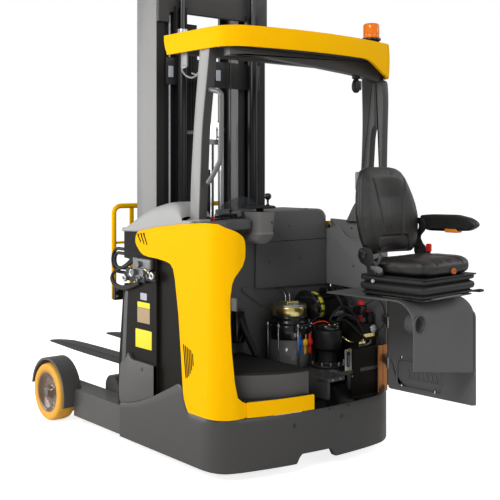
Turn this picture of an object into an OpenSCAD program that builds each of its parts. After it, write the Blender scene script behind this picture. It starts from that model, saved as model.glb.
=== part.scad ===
// Reach truck: straddle legs, moving three stage mast, side seated operator place.
// Millimetres. +X is the truck's right, +Y runs to the fork tips, +Z is up from the ground.

/* [Chassis] */
// Width over the body sides
base_w = 1270; // [1240:10:1300]
// Height of the rear plinth top
plinth_h = 305; // [295:5:310]
// Height of the support leg top
leg_h = 218; // [206:2:226]

/* [Load wheels] */
// Diameter of a load wheel
load_wheel_d = 340; // [320:5:345]
// Width of a load wheel tread
load_wheel_w = 115; // [95:5:115]

/* [Drive wheel] */
// Diameter of the driven wheel
drive_wheel_d = 343; // [320:1:343]
// Width of the driven wheel
drive_wheel_w = 120; // [90:5:120]

/* [Guard] */
// Height of the overhead guard top
guard_h = 2190; // [2150:10:2230]
// Height of the guard fascia
fascia_h = 103; // [90:1:110]

/* [Mast] */
// Width over the outer mast rails
mast_w = 800; // [780:5:805]
// Closed height of the mast
mast_h = 2750; // [2700:10:2790]

/* [Forks] */
// Length of a fork blade
fork_len = 1150; // [1000:10:1180]
// Width of a fork blade
fork_w = 105; // [90:5:115]
// Thickness of a fork blade
fork_t = 40; // [35:1:45]

/* [Seat] */
// Width of the seat cushion
cushion_w = 430; // [400:10:440]
// Angle that the seat door stands open
open_angle = 94; // [90:1:96]

/* [Hidden] */
$fn = 48;

// Middle of the whole length, put at the origin
mid_y = 831;
half_w = base_w / 2;
skin = 28;
cover_in = half_w - skin - 20;
cab_half = half_w - 63;
// How far the sides stand from the width they are drawn for
side_move = half_w - 635;
wheel_x = half_w + 12.5;
wheel_y = 1550;
ground_gap = 50;
leg_in = half_w - 140;
arm_out = half_w - 52;
axle_r = 28;

// Drive unit and castor places
drive_x = 300;
drive_y = 180;
castor_x = -330;
castor_y = 150;
castor_r = 75;
castor_trail = 35;

// Body levels
floor_z = 500;
deck_z = 885;
rim_z = 1174;
body_front = 745;
cover_front = 840;

// Seat door hinge
hinge_x = half_w - 150;
hinge_y = -100;
seat_mid = 289;
back_half = 227;
plate_gap = 4;
recline_x = -225;
recline_z = 1100;

// Mast places
mast_half = mast_w / 2;
mast_y = 830;
mast_d = 200;
mid_half = mast_half - 66;
in_half = mid_half - 64;
web = 12;
flange = 55;
flange_t = 20;
run_gap = 0.3;
groove_r = 50;
roller_r = mast_d / 2 - flange_t - run_gap;
cylinder_y = 782;
head_y = 926;
head_z = 1740;
inner_y = mast_y + 34;
shifter_y = 1156;

// Heights on the guard posts, drawn for a guard 2190 high
function post_z(z) = 1245 + (z - 1245) * (guard_h - 1340) / 850;

module blk(x0, x1, y0, y1, z0, z1) {
  translate([x0, y0, z0]) cube([x1 - x0, y1 - y0, z1 - z0]);
}

module rod_x(x0, x1, y, z, r) {
  translate([x0, y, z]) rotate([0, 90, 0]) cylinder(h = x1 - x0, r = r);
}

module rod_y(x, y0, y1, z, r) {
  translate([x, y0, z]) rotate([-90, 0, 0]) cylinder(h = y1 - y0, r = r);
}

module rod_z(x, y, z0, z1, r) {
  translate([x, y, z0]) cylinder(h = z1 - z0, r = r);
}

// Draws a side outline given as [y, z] points, from x0 to x1
module side_plate(x0, x1) {
  translate([x0, 0, 0]) rotate([90, 0, 90]) linear_extrude(height = x1 - x0) children();
}

// Draws a rear outline given as [x, z] points, from y0 to y1
module rear_plate(y0, y1) {
  translate([0, y1, 0]) rotate([90, 0, 0]) linear_extrude(height = y1 - y0) children();
}

// A tube between two points
module tube(a, b, r) {
  d = b - a;
  l = norm(d);
  translate(a) rotate([0, acos(d[2] / l), atan2(d[1], d[0])]) cylinder(h = l, r = r);
}

module place() {
  translate([0, -mid_y, 0]) children();
}

// Seat door pieces are drawn closed about the hinge and turned open
module swung() {
  translate([hinge_x, hinge_y, 0]) rotate([0, 0, open_angle]) children();
}

// Rear outline of the plinth from above
module plinth_plan(inset) {
  polygon([
    [-half_w + inset, cover_front], [-half_w + inset, 130], [-half_w + 17 + inset, 60 + inset * 0.4],
    [-half_w + 35 + inset * 0.8, -6 + inset], [-half_w + 99 + inset * 0.3, -50 + inset],
    [-466, -72 + inset], [-323, -111 + inset], [-200, -133 + inset],
    [8, -160 + inset], [270, -159 + inset], [half_w - 215 - inset * 0.3, -140 + inset],
    [half_w - inset, 60 + inset * 0.4], [half_w - inset, cover_front]
  ]);
}

module plinth() {
  color("#3c3c3e") {
    difference() {
      translate([0, 0, ground_gap]) linear_extrude(height = plinth_h - ground_gap) {
        difference() {
          plinth_plan(0);
          plinth_plan(36);
        }
      }
      rear_plate(-200, -60) polygon([
        [-215, 40], [15, 40], [-15, 95], [-185, 95]
      ]);
      side_plate(-half_w - 65, half_w + 65) polygon([
        [540, 340], [540, 317], [613, 290], [776, 240], [850, 230], [850, 340]
      ]);
      blk(-80, -58, -200, -60, 225, 247);
      blk(230, 252, -200, -60, 225, 247);
    }
    for (s = [-1, 1]) {
      side_plate(s < 0 ? -half_w : half_w - 36, s < 0 ? -half_w + 36 : half_w) polygon([
        [208, plinth_h - 2], [229, 330], [258, 400], [298, 430], [340, 412], [372, 396],
        [474, 348], [526, 323], [526, 290], [230, 290]
      ]);
    }
    blk(-half_w + 36, half_w - 36, 500, 740, 205, 235);
    blk(-half_w + 36, half_w - 36, 755, 785, 60, 75);
    blk(castor_x - 90, castor_x + 90, -66, 500, 230.3, 245);
  }
}

module leg(s) {
  lo = s < 0 ? -half_w : leg_in;
  hi = s < 0 ? -leg_in : half_w;
  arm_lo = s < 0 ? -arm_out : leg_in;
  arm_hi = s < 0 ? -leg_in : arm_out;
  groove_lo = s < 0 ? -leg_in - 40 : leg_in - 5;
  groove_hi = s < 0 ? -leg_in + 5 : leg_in + 40;
  difference() {
    union() {
      side_plate(lo, hi) polygon([
        [cover_front, 60], [1345, 60], [1345, 160], [1330, leg_h], [cover_front, leg_h]
      ]);
      side_plate(arm_lo, arm_hi) polygon([
        [1300, 60], [1560, 60], [1625, 110], [1640, 180], [1600, leg_h], [1300, leg_h]
      ]);
      side_plate(s < 0 ? -half_w - 63 : arm_out, s < 0 ? -arm_out : half_w + 63) {
        intersection() {
          difference() {
            translate([wheel_y, 170]) circle(r = 204);
            translate([wheel_y, 170]) circle(r = 190);
          }
          polygon([
            [1300, 120], [1545, 60], [1552, 240], [1765, 190], [1800, 420], [1300, 420]
          ]);
        }
      }
    }
    blk(groove_lo, groove_hi, 700, wheel_y + 150, 140 - groove_r, 140 + groove_r);
  }
  rod_x(s < 0 ? -half_w - 65 : arm_out, s < 0 ? -arm_out : half_w + 65, wheel_y, 170, axle_r - run_gap);
}

module leg_left() {
  color("#4a4a4c") leg(-1);
}

module leg_right() {
  color("#4a4a4c") leg(1);
}

module load_wheel(s) {
  x0 = s * wheel_x - load_wheel_w / 2;
  difference() {
    union() {
      rod_x(x0, x0 + load_wheel_w, wheel_y, 170, load_wheel_d / 2);
    }
    rod_x(x0 - 1, x0 + load_wheel_w + 1, wheel_y, 170, axle_r);
    dish = s < 0 ? x0 - 1 : x0 + load_wheel_w - 20;
    rod_x(dish, dish + 21, wheel_y, 170, 112);
  }
}

module load_wheel_left() {
  color("#e8b428") load_wheel(-1);
}

module load_wheel_right() {
  color("#e8b428") load_wheel(1);
}

module battery() {
  color("#2a2a2c") blk(-cover_in + 27, cover_in - 27, 520, body_front - 20, 235, 880);
}

module front_wall() {
  color("#303032") blk(-cover_in, cover_in, body_front - 10, body_front, 235, rim_z);
}

module side_cover(s) {
  a = s < 0 ? -cover_in - 20 : cover_in;
  side_plate(a, a + 20) polygon([
    [526, 323], [613, 290], [776, 240], [cover_front, 232], [cover_front, 880], [720, 890], [720, 1010],
    [cover_front, 1020], [cover_front, rim_z], [526, rim_z]
  ]);
  b = s < 0 ? -cover_in : cab_half;
  side_plate(b, b + 15) polygon([
    [s < 0 ? 220 : 450, 250], [540, 250], [540, rim_z], [s < 0 ? 220 : 450, rim_z]
  ]);
  c = s < 0 ? -half_w + 10 : half_w - skin;
  side_plate(c, c + 18) polygon([
    [526, 323], [613, 290], [776, 240], [cover_front, 232], [858, leg_h + 14],
    [872, 300], [852, 450], [526, 480]
  ]);
  d = s < 0 ? -half_w + skin : cab_half - 20;
  side_plate(d, d + 55) polygon([
    [cover_front, leg_h], [900, leg_h], [895, 440], [846, 860], [cover_front, 860]
  ]);
}

module side_cover_left() {
  color("#333335") side_cover(-1);
}

module side_cover_right() {
  color("#333335") side_cover(1);
}

// Outline of the side of a yellow panel, front edge first
front_edge = [
  [684, 1174], [617, 1095], [500, 1070], [373, 1041], [345, 1022], [335, 1000],
  [291, 781], [268, 560], [254, 403], [225, 330], [205, plinth_h]
];

module yellow_panel_left() {
  color("#ffc814") intersection() {
    translate([0, 0, plinth_h]) linear_extrude(height = 1250 - plinth_h) {
      difference() {
        union() {
          translate([-half_w, 65]) square([300, 700]);
          translate([-half_w + 115, 65]) circle(r = 115);
          translate([-half_w + 115, -50]) square([200, 200]);
        }
        translate([-half_w + skin, 65]) square([400, 800]);
        translate([-half_w + 115, 65]) circle(r = 115 - skin);
        translate([-half_w + 115, -50 + skin]) square([300, 200]);
      }
    }
    side_plate(-half_w - 65, -half_w + 235) polygon(concat(front_edge, [
      [-100, plinth_h], [-100, 1225], [0, 1238], [85, 1240], [300, 1228], [500, 1205]
    ]));
    translate([-side_move, 0, 0]) rear_plate(-100, 900) polygon([
      [-700, plinth_h], [-470, plinth_h], [-470, 381], [-499, 383], [-531, 410],
      [-547, 486], [-562, 640], [-568, 775], [-566, 930], [-555, 985], [-499, 1047], [-484, 1085],
      [-482, 1130], [-494, 1187], [-540, 1212], [-585, 1226], [-610, 1240], [-700, 1250]
    ]);
  }
}

module yellow_panel_right() {
  color("#ffc814") side_plate(half_w - skin, half_w) polygon(concat(front_edge, [
    [62, plinth_h], [62, 520], [95, 600], [130, 800], [150, 1190], [200, 1225], [300, 1228], [500, 1205]
  ]));
}

module top_hood() {
  color("#77787a") {
    side_plate(-half_w + 10, -half_w + 205) polygon([
      [cover_front, rim_z], [831, 1180], [751, 1227], [644, 1279], [504, 1318], [420, 1332], [378, 1335],
      [330, 1326], [305, 1312], [285, 1295], [275, 1232], [300, 1228], [500, 1205], [684, rim_z]
    ]);
  }
}

module battery_hood() {
  color("#48484a") difference() {
    blk(-half_w + 205, half_w - 35, 450, body_front, rim_z, 1270);
    blk(-half_w + 217, half_w - 47, 465, body_front - 12, rim_z - 5, 1258);
    blk(-20, half_w - 215, 520, 690, 1240, 1280);
  }
}

module console_wall() {
  color("#3e3e40") {
    blk(-cab_half, cab_half, 450, 465, 245, rim_z);
    blk(0, cab_half - 32, 436, 450, 830, 1262);
  }
}

module pocket_panel() {
  color("#4c4c4e") difference() {
    union() {
      side_plate(half_w - 90, half_w - 35) polygon([
        [10, 840], [450, 840], [450, 1262], [360, 1215], [200, 1205], [40, 1205], [10, 1170]
      ]);
      side_plate(half_w - 50, half_w - skin) polygon([
        [10, 480], [450, 480], [450, 840], [10, 840]
      ]);
      translate([0, 0, 645]) linear_extrude(height = 45) polygon([
        [hinge_x - 9, -93], [hinge_x + 9, -107], [half_w - skin, 14], [half_w - 50, 40]
      ]);
      rod_z(hinge_x, hinge_y, 640, 699.7, 14);
    }
    side_plate(half_w - 77, half_w - 47) polygon([
      [40, 1100], [180, 1090], [300, 1120], [420, 1140], [420, 1300], [40, 1300]
    ]);
    side_plate(half_w - 95, half_w - 75) polygon([
      [60, 1190], [110, 1140], [190, 1135], [230, 1190], [240, 1300], [50, 1300]
    ]);
  }
}

// Edge of the raised floor from above, right end first
riser = [
  [-110, -96], [-180, -92], [-250, -75], [-320, -45], [-390, -5], [-450, 45], [-500, 100], [-cab_half, 160]
];

module foot_well() {
  color("#38383a") {
    translate([0, 0, floor_z - 15]) linear_extrude(height = 15) {
      polygon(concat(riser, [[-cab_half, 450], [-110, 450]]));
    }
    translate([0, 0, plinth_h]) linear_extrude(height = floor_z - 15 - plinth_h) {
      difference() {
        polygon(concat(riser, [[-cab_half, 450], [-110, 450]]));
        translate([-15, 15]) polygon(concat(riser, [[-cab_half - 28, 420], [-110, 420]]));
      }
    }
    blk(-cab_half, -cab_half + 15, 162, 450, floor_z, rim_z);
    difference() {
      translate([0, 0, 365]) linear_extrude(height = 15) {
        difference() {
          polygon([
            [-500, 60], [-500, -20], [-469, -20], [-469, -51], [-323, -94],
            [-200, -116], [-110, -127], [-110, -80],
            [-300, 60]
          ]);
          polygon(concat(riser, [[-cab_half, 450], [-110, 450]]));
        }
      }
    }
  }
}

module step_trim() {
  color("#ffc814") translate([0, 0, plinth_h]) linear_extrude(height = 75) polygon([
    [-469.5, -67], [-323, -107], [-200, -129], [-110, -142], [-110, -128],
    [-200, -116], [-323, -94], [-469.5, -51]
  ]);
}

module dash() {
  color("#303032") difference() {
    translate([0, 0, 1185]) linear_extrude(height = 60) polygon([
      [-half_w + 45, 272], [-half_w + 45, 160], [-540, 120], [-500, 110], [-440, 150], [-330, 255],
      [-220, 300], [-138, 310],
      [-138, 450], [-430, 450], [-430, 272]
    ]);
    translate([0, 0, 1225]) linear_extrude(height = 40) polygon([
      [-415, 285], [-330, 290], [-150, 350], [-150, 430], [-415, 430]
    ]);
  }
}

module steering_column() {
  color("#707173") {
    blk(-132, -8, 275, 400, 1140, 1270);
    side_plate(-132, -8) polygon([
      [450, 1100], [450, 1210], [400, 1210], [400, 1140], [275, 1140], [290, 1105], [330, 1100]
    ]);
    rod_z(-69, 330, 1270, 1288.7, 22);
  }
}

module steering_wheel() {
  color("#232325") {
    rod_z(-69, 330, 1289, 1303, 84);
    rod_z(-15, 330, 1303, 1345, 9);
    translate([-15, 330, 1352]) sphere(r = 19);
  }
}

module visor() {
  color("#b0b4b8") rear_plate(431, 437) polygon([
    [-half_w + 355, 1245], [-140, 1245], [-60, 1270], [-20, 1320], [-40, 1345], [-120, 1350], [-240, 1320]
  ]);
}

module fascia_plan(inset) {
  polygon([
    [-half_w + 35 + inset, 480], [-half_w + 35 + inset, 20], [-half_w + 45 + inset, -22 + inset],
    [-half_w + 75 + inset * 0.6, -50 + inset],
    [-half_w + 115, -66 + inset], [-400, -92 + inset], [-200, -121 + inset], [0, -130 + inset],
    [200, -121 + inset], [400, -92 + inset], [half_w - 115, -66 + inset],
    [half_w - 75 - inset * 0.6, -50 + inset],
    [half_w - 45 - inset, -22 + inset], [half_w - 35 - inset, 20], [half_w - 35 - inset, 480]
  ]);
}

module roof_fascia() {
  color("#ffc814") {
    difference() {
      translate([0, 0, guard_h - 200]) linear_extrude(height = 200) difference() {
        fascia_plan(0);
        fascia_plan(22);
      }
      rear_plate(-200, 600) polygon([
        [-700, guard_h - 210], [-700, guard_h - fascia_h], [300, guard_h - fascia_h],
        [400, guard_h - fascia_h - 14], [470, guard_h - fascia_h - 40], [530, guard_h - fascia_h - 75],
        [580, guard_h - fascia_h - 84], [590, guard_h - fascia_h - 84], [590, guard_h - 210]
      ]);
      side_plate(-half_w - 65, half_w + 65) polygon([
        [455, guard_h - 210], [600, guard_h - 210], [600, guard_h + 10], [485, guard_h + 10]
      ]);
      side_plate(half_w - 75, half_w + 65) polygon([
        [60, guard_h - 210], [60, guard_h - fascia_h - 40], [110, guard_h - fascia_h],
        [600, guard_h - fascia_h],
        [600, guard_h - 210]
      ]);
    }
  }
}

module roof_frame() {
  color("#3a3a3c") {
    for (s = [-1, 1]) {
      blk(s < 0 ? -half_w + 57 : half_w - 107, s < 0 ? -half_w + 107 : half_w - 57,
        22, 450, guard_h - 95, guard_h - 45);
    }
    blk(-half_w + 107, half_w - 107, 400, 450, guard_h - 95, guard_h - 45);
    rear_plate(12, 62) polygon([
      [-half_w + 111, guard_h - 142], [-400, guard_h - 125], [0, guard_h - 150], [350, guard_h - 175],
      [half_w - 103, guard_h - 208], [half_w - 103, guard_h - 90], [-half_w + 112, guard_h - 90]
    ]);
    blk(-half_w + 103, half_w - 103, -34, 30, guard_h - 95, guard_h - 60);
  }
}

module roof_slats() {
  color("#8a8b8d") for (i = [0:6]) {
    translate([-half_w + 75, 5 + i * 60, guard_h - 45]) cube([base_w - 150, 34, 12]);
  }
}

module post_left() {
  color("#a8a8a6") side_plate(-half_w + 58, -half_w + 110) polygon([
    [270, 1245], [165, 1245], [155, post_z(1400)], [135, post_z(1700)],
    [75, post_z(2075)], [72, guard_h - 95],
    [190, guard_h - 95], [190, post_z(2075)], [235, post_z(1750)], [262, post_z(1450)]
  ]);
}

module post_right() {
  color("#4a4a4c") side_plate(half_w - 102, half_w - 58) difference() {
    polygon([
      [-2, 1205], [-10, post_z(1600)], [-20, post_z(1900)], [-12, guard_h - 200], [22, guard_h - 188],
      [22, guard_h - 95], [150, guard_h - 95],
      [145, post_z(1950)], [140, post_z(1750)], [150, post_z(1500)], [180, 1205]
    ]);
    polygon([
      [18, 1200], [18, post_z(1600)], [22, post_z(1715)], [40, post_z(1745)], [62, post_z(1735)],
      [76, post_z(1690)], [90, post_z(1500)], [125, 1200]
    ]);
  }
}

module grab_handle() {
  color("#8c8d8f") {
    tube([-half_w + 84, 115, post_z(1880)], [-half_w + 84, 50, post_z(1845)], 13);
    tube([-half_w + 84, 50, post_z(1845)], [-half_w + 84, 60, post_z(1540)], 13);
    tube([-half_w + 84, 60, post_z(1540)], [-half_w + 84, 160, post_z(1440)], 13);
    translate([-half_w + 84, 50, post_z(1845)]) sphere(r = 13);
    translate([-half_w + 84, 60, post_z(1540)]) sphere(r = 13);
  }
}

module beacon() {
  color("#f57d0a") {
    rod_z(460, 5, guard_h - 33, guard_h + 18, 46);
    rod_z(460, 5, guard_h + 18, guard_h + 30, 54);
    rod_z(460, 5, guard_h + 30, guard_h + 112, 44);
  }
}

module roof_lamp() {
  color("#1c1c1e") {
    rod_z(380, 45, guard_h - 191, guard_h - 182, 9);
    translate([355, 20, guard_h - 270]) cube([50, 50, 80]);
  }
}

module motor_frame() {
  color("#46464a") difference() {
    union() {
      blk(60, cab_half, -65, 450, 395, 415);
      blk(60, 80, -65, 450, plinth_h, 395);
      blk(cab_half - 20, cab_half, 30, 450, plinth_h, 395);
      blk(cab_half, cab_half + 13, 30, 215, plinth_h, 560);
      blk(half_w - 36, half_w, 20, 60, plinth_h, 480);
      blk(cab_half, half_w - 36, 10, 60, plinth_h, 480);
      translate([0, 0, 430]) linear_extrude(height = 45) polygon([
        [hinge_x - 9, -93], [hinge_x + 9, -107], [half_w - 36, 12], [cab_half, 40]
      ]);
      rod_z(hinge_x, hinge_y, 420.3, 479, 14);
    }
    rod_z(drive_x, drive_y, 300, 420, 98);
  }
}

module oil_tank() {
  color("#1e1e20") {
    rod_z(150, 335, 415, 640, 105);
    rod_z(150, 335, 640, 700, 100);
    rod_z(150, 335, 700, 760, 88);
    rod_z(150, 335, 760, 790, 40);
  }
}

module pump_motor() {
  color("#1c1c1e") {
    rod_x(275, cab_half - 32, 350, 716, 80);
    rod_x(330, 352, 350, 716, 84);
    blk(300, cab_half - 62, 290, 410, 600, 650);
    blk(300, 320, 290, 410, 415, 600);
    blk(cab_half - 82, cab_half - 62, 290, 410, 415, 600);
  }
}

module drive_motor() {
  color("#202022") {
    rod_z(drive_x, drive_y, 415, 430, 104);
    rod_z(drive_x, drive_y, 430, 600, 76);
    rod_z(drive_x, drive_y, 600, 640, 60);
  }
}

module controller_box() {
  color("#26262a") {
    blk(450, cab_half, 60, 230, 415, 640);
    blk(455, cab_half - 12, 80, 220, 640, 760);
  }
}

module valve_block() {
  color("#58595b") {
    blk(-half_w + 4, -half_w + skin, 560, 715, 930, 1030);
    for (v = [[600, 955], [690, 955], [645, 1000]]) {
      rod_x(-half_w - 17, -half_w + 4, v[0], v[1], 17);
    }
  }
}

module valve_hoses() {
  color("#161618") for (bend = [40, 64]) {
    rod_y(-half_w + 38, 720.3, 910, 1000 - bend, 9);
    rod_y(-half_w + 38, 840.3, 910, 1000 + bend, 9);
    translate([-half_w + 38, 910, 1000]) rotate([90, 0, 90]) rotate([0, 0, -90]) {
      rotate_extrude(angle = 180) translate([bend, 0]) circle(r = 9);
    }
  }
}

module reach_cylinder() {
  color("#2c2c2e") difference() {
    union() {
      rod_y(0, 300, 790, 130, 34);
      blk(-40, 40, 500, 560, 130, 205);
    }
    rod_y(0, 330, 800, 130, 22);
  }
}

module drive_yoke() {
  color("#505256") {
    rod_z(drive_x, drive_y, 352, 414.7, 95);
    blk(drive_x + 70, drive_x + 100, drive_y - 60, drive_y + 60, 120, 352);
    rod_x(drive_x + 30, drive_x + 70, drive_y, drive_wheel_d / 2, 34.7);
    rod_x(drive_x + 70, drive_x + 120, drive_y, drive_wheel_d / 2, 60);
  }
}

module drive_wheel() {
  color("#1a1a1a") difference() {
    rod_x(drive_x - drive_wheel_w / 2, drive_x + drive_wheel_w / 2, drive_y,
      drive_wheel_d / 2, drive_wheel_d / 2);
    rod_x(drive_x - 70, drive_x + 90, drive_y, drive_wheel_d / 2, 35);
  }
}

module castor_fork() {
  color("#505256") {
    rod_z(castor_x, castor_y, 212, 230, 60);
    for (s = [-1, 1]) {
      side_plate(castor_x + s * 36 - 4, castor_x + s * 36 + 4) polygon([
        [castor_y - 40, 212], [castor_y + 40, 212], [castor_y + castor_trail + 22, 60],
        [castor_y + castor_trail - 22, 60]
      ]);
    }
    rod_x(castor_x - 36, castor_x + 36, castor_y + castor_trail, castor_r, 8);
    blk(castor_x - 44, castor_x + 44, castor_y - 40, castor_y + 40, 200, 214);
  }
}

module castor_wheel() {
  color("#2a2a2a") difference() {
    rod_x(castor_x - 25, castor_x + 25, castor_y + castor_trail, castor_r, castor_r);
    rod_x(castor_x - 26, castor_x + 26, castor_y + castor_trail, castor_r, 8.3);
  }
}

module door_panel() {
  color("#47474a") swung() {
    difference() {
      blk(-552, -14, -6, 22, 318, deck_z - 30);
      blk(-360, -75, 14, 30, 345, 455);
    }
    rod_z(0, 0, 350, 420, 14);
    rod_z(0, 0, 700, 760, 14);
    blk(-20, -6, -6, 12, 350, 420);
    blk(-20, -6, -6, 12, 700, 760);
  }
}

module seat_box() {
  color("#47474a") swung() {
    blk(-560, 0, -6, 524, deck_z - 30, deck_z);
    difference() {
      side_plate(-552, -528) polygon([
        [22, 525], [520, 580], [520, deck_z - 80], [512, deck_z - 30], [22, deck_z - 30]
      ]);
      rod_x(-560, -540, 462, 775, 34);
    }
  }
}

module seat_suspension() {
  color("#1e1e20") swung() {
    blk(-560, -250, seat_mid - 205, seat_mid + 205, deck_z, 905);
    blk(-550, -260, seat_mid - 195, seat_mid + 195, 905, 925);
    blk(-570, -245, seat_mid - 215, seat_mid + 215, 925, 945);
    blk(-550, -260, seat_mid - 195, seat_mid + 195, 945, 965);
    blk(-575, -240, seat_mid - 218, seat_mid + 218, 965, 990);
    for (s = [-1, 1]) {
      y0 = seat_mid + s * (back_half + plate_gap + 5) - 5;
      rear_plate(y0, y0 + 10) polygon([
        [-330, 895], [-262, 895], [-200, 1060], [-200, s < 0 ? 1240 : 1125],
        [-265, s < 0 ? 1250 : 1125], [-330, 1040]
      ]);
      blk(-330, -262, min(y0, seat_mid), max(y0 + 10, seat_mid), 895, 905);
      rod_y(recline_x, s < 0 ? y0 + 10 : y0 - plate_gap + run_gap,
        s < 0 ? y0 + 10 + plate_gap - run_gap : y0, recline_z, 18);
    }
  }
}

module seat_cushion() {
  color("#28272a") swung() {
    blk(-598, -215, seat_mid - cushion_w / 2, seat_mid + cushion_w / 2, 990.3, 1078);
  }
}

module seat_backrest() {
  color("#28272a") swung() rear_plate(seat_mid - back_half, seat_mid + back_half) polygon([
    [-262, 1085], [-180, 1085], [-125, 1515], [-205, 1515]
  ]);
}

module armrest() {
  color("#2c2c2e") swung() {
    blk(-565, -225, -8, 42, 1188, 1262);
    rod_y(-245, 42, seat_mid - back_half - plate_gap - 10 - run_gap, 1222, 22);
  }
}

module rail(half, y0, z0, z1) {
  for (s = [-1, 1]) {
    blk(s < 0 ? -half : half - web, s < 0 ? -half + web : half, y0, y0 + mast_d, z0, z1);
    for (y = [y0, y0 + mast_d - flange_t]) {
      blk(s < 0 ? -half : half - flange, s < 0 ? -half + flange : half, y, y + flange_t, z0, z1);
    }
  }
}

module reach_carriage() {
  color("#3a3a3c") {
    blk(-mast_half, mast_half, mast_y, mast_y + mast_d, 80, 90);
    for (s = [-1, 1]) {
      blk(s < 0 ? -leg_in + 10 : mast_half, s < 0 ? -mast_half : leg_in - 10, 820, 1240, 80, 205);
      side_plate(s < 0 ? -leg_in + 10 : mast_half + 10, s < 0 ? -mast_half - 10 : leg_in - 10) {
        translate([1168, 235]) circle(r = 70);
        translate([1098, 200]) square([140, 35]);
      }
      for (y = [890, 1180]) {
        rod_x(s < 0 ? -leg_in - 35 : leg_in - 10, s < 0 ? -leg_in + 10 : leg_in + 35,
          y, 140, groove_r - run_gap);
      }
    }
    rod_y(0, 350, 830, 130, 16);
    blk(-30, 30, 810, 830, 80, 160);
  }
}

module outer_mast() {
  color("#5a5b5d") {
    rail(mast_half, mast_y, 90, mast_h);
    rear_plate(812, 830) difference() {
      polygon([
        [-mast_half, mast_h - 420], [mast_half, mast_h - 420], [mast_half, mast_h - 150],
        [-mast_half, mast_h - 150]
      ]);
      polygon([
        [-mast_half + 70, mast_h - 430], [mast_half - 70, mast_h - 430], [mast_half - 70, mast_h - 380],
        [mast_half - 85, mast_h - 362], [-mast_half + 85, mast_h - 362], [-mast_half + 70, mast_h - 380]
      ]);
    }
    rear_plate(812, 830) polygon([
      [-mast_half, 250], [mast_half, 250], [mast_half, 400], [-mast_half, 400]
    ]);
    for (s = [-1, 1]) {
      difference() {
        union() {
          blk(s * 260 - 38, s * 260 + 38, 785, 812, 260, 400);
          blk(s * 260 - 38, s * 260 + 38, 785, 812, mast_h - 510, mast_h - 330);
        }
        rod_z(s * 260, cylinder_y, 250, mast_h - 250, 29 + run_gap);
      }
    }
  }
}

module lift_barrels() {
  color("#2a2a2c") for (s = [-1, 1]) {
    difference() {
      rod_z(s * 260, cylinder_y, 250, mast_h - 460, 29);
      rod_z(s * 260, cylinder_y, 280, mast_h - 450, 18.3);
    }
  }
}

module middle_mast() {
  color("#4c4d4f") {
    rail(mid_half, mast_y + 10, 110, mast_h - 10);
    blk(-mid_half + web, mid_half - web, mast_y + 12, mast_y + 28, mast_h - 140, mast_h - 10);
    for (s = [-1, 1]) {
      rod_x(s < 0 ? -mid_half - 48 : mid_half, s < 0 ? -mid_half : mid_half + 48,
        mast_y + mast_d / 2, 200, roller_r);
    }
  }
}

module lift_rods() {
  color("#c8ccd0") for (s = [-1, 1]) {
    rod_z(s * 260, cylinder_y, 380, mast_h - 60, 18);
    blk(s * 260 - 19, s * 260 + 19, 765, mast_y + 12, mast_h - 100, mast_h - 60);
  }
}

module inner_mast() {
  color("#434446") {
    rail(in_half, inner_y, 130, mast_h - 20);
    blk(-in_half + web, in_half - web, inner_y, inner_y + 16, mast_h - 130, mast_h - 20);
    blk(-in_half + web, in_half - web, inner_y, inner_y + 16, 160, 300);
    for (s = [-1, 1]) {
      rod_x(s < 0 ? -in_half - 46 : in_half, s < 0 ? -in_half : in_half + 46,
        mast_y + 10 + mast_d / 2, 220, roller_r);
    }
  }
}

module free_lift_barrel() {
  color("#2a2a2c") {
    difference() {
      rod_z(0, head_y, 190, 1500, 42);
      rod_z(0, head_y, 230, 1510, 25.3);
    }
    blk(-45, 45, inner_y + 16, inner_y + 22, 200, 290);
  }
}

module lift_head() {
  color("#8c8f92") {
    rod_z(0, head_y, 420, head_z - 90, 25);
    blk(-122, 122, head_y - 20, head_y + 20, head_z - 90, head_z - 58);
    for (s = [-1, 1]) {
      rod_x(s * 100 - 14, s * 100 + 14, head_y, head_z, 52);
      blk(s * 100 - 22, s * 100 - 14, head_y - 20, head_y + 20, head_z - 90, head_z + 16);
      blk(s * 100 + 14, s * 100 + 22, head_y - 20, head_y + 20, head_z - 90, head_z + 16);
      blk(s * 100 - 10, s * 100 + 10, head_y + 42, head_y + 54, 880, head_z);
      blk(s * 100 - 10, s * 100 + 10, head_y - 54, head_y - 42, 440, head_z);
    }
  }
}

module fork_carriage() {
  color("#343436") {
    for (s = [-1, 1]) {
      blk(s < 0 ? -205 : 190, s < 0 ? -190 : 205, 900, 1150, 400, 880);
      for (z = [480, 800]) {
        rod_x(s < 0 ? -in_half + 16 : 205, s < 0 ? -205 : in_half - 16, inner_y + mast_d / 2, z, roller_r);
      }
    }
    blk(-205, 205, 1130, shifter_y - 0.3, 420, 455);
    blk(-205, 205, 1130, shifter_y - 0.3, 745, 815);
    blk(-190, 190, 1000, 1020, 820, 860);
  }
}

module side_shifter() {
  color("#2c2c2e") {
    blk(-300, 300, shifter_y, shifter_y + 30, 380, 460);
    blk(-470, 470, shifter_y, shifter_y + 30, 740, 820);
    for (s = [-1, 1]) {
      blk(s * 150 - 25, s * 150 + 25, shifter_y, shifter_y + 24, 460, 740);
    }
  }
}

module load_backrest() {
  color("#ffb914") {
    for (x = [-455, -335, 335, 455]) {
      blk(x - 15, x + 15, shifter_y + 30, shifter_y + 42, 742, 1300);
    }
    for (z = [1060, 1278]) {
      blk(-440, -350, shifter_y + 30, shifter_y + 42, z, z + 22);
      blk(-320, 320, shifter_y + 30, shifter_y + 42, z, z + 22);
      blk(350, 440, shifter_y + 30, shifter_y + 42, z, z + 22);
    }
  }
}

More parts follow.
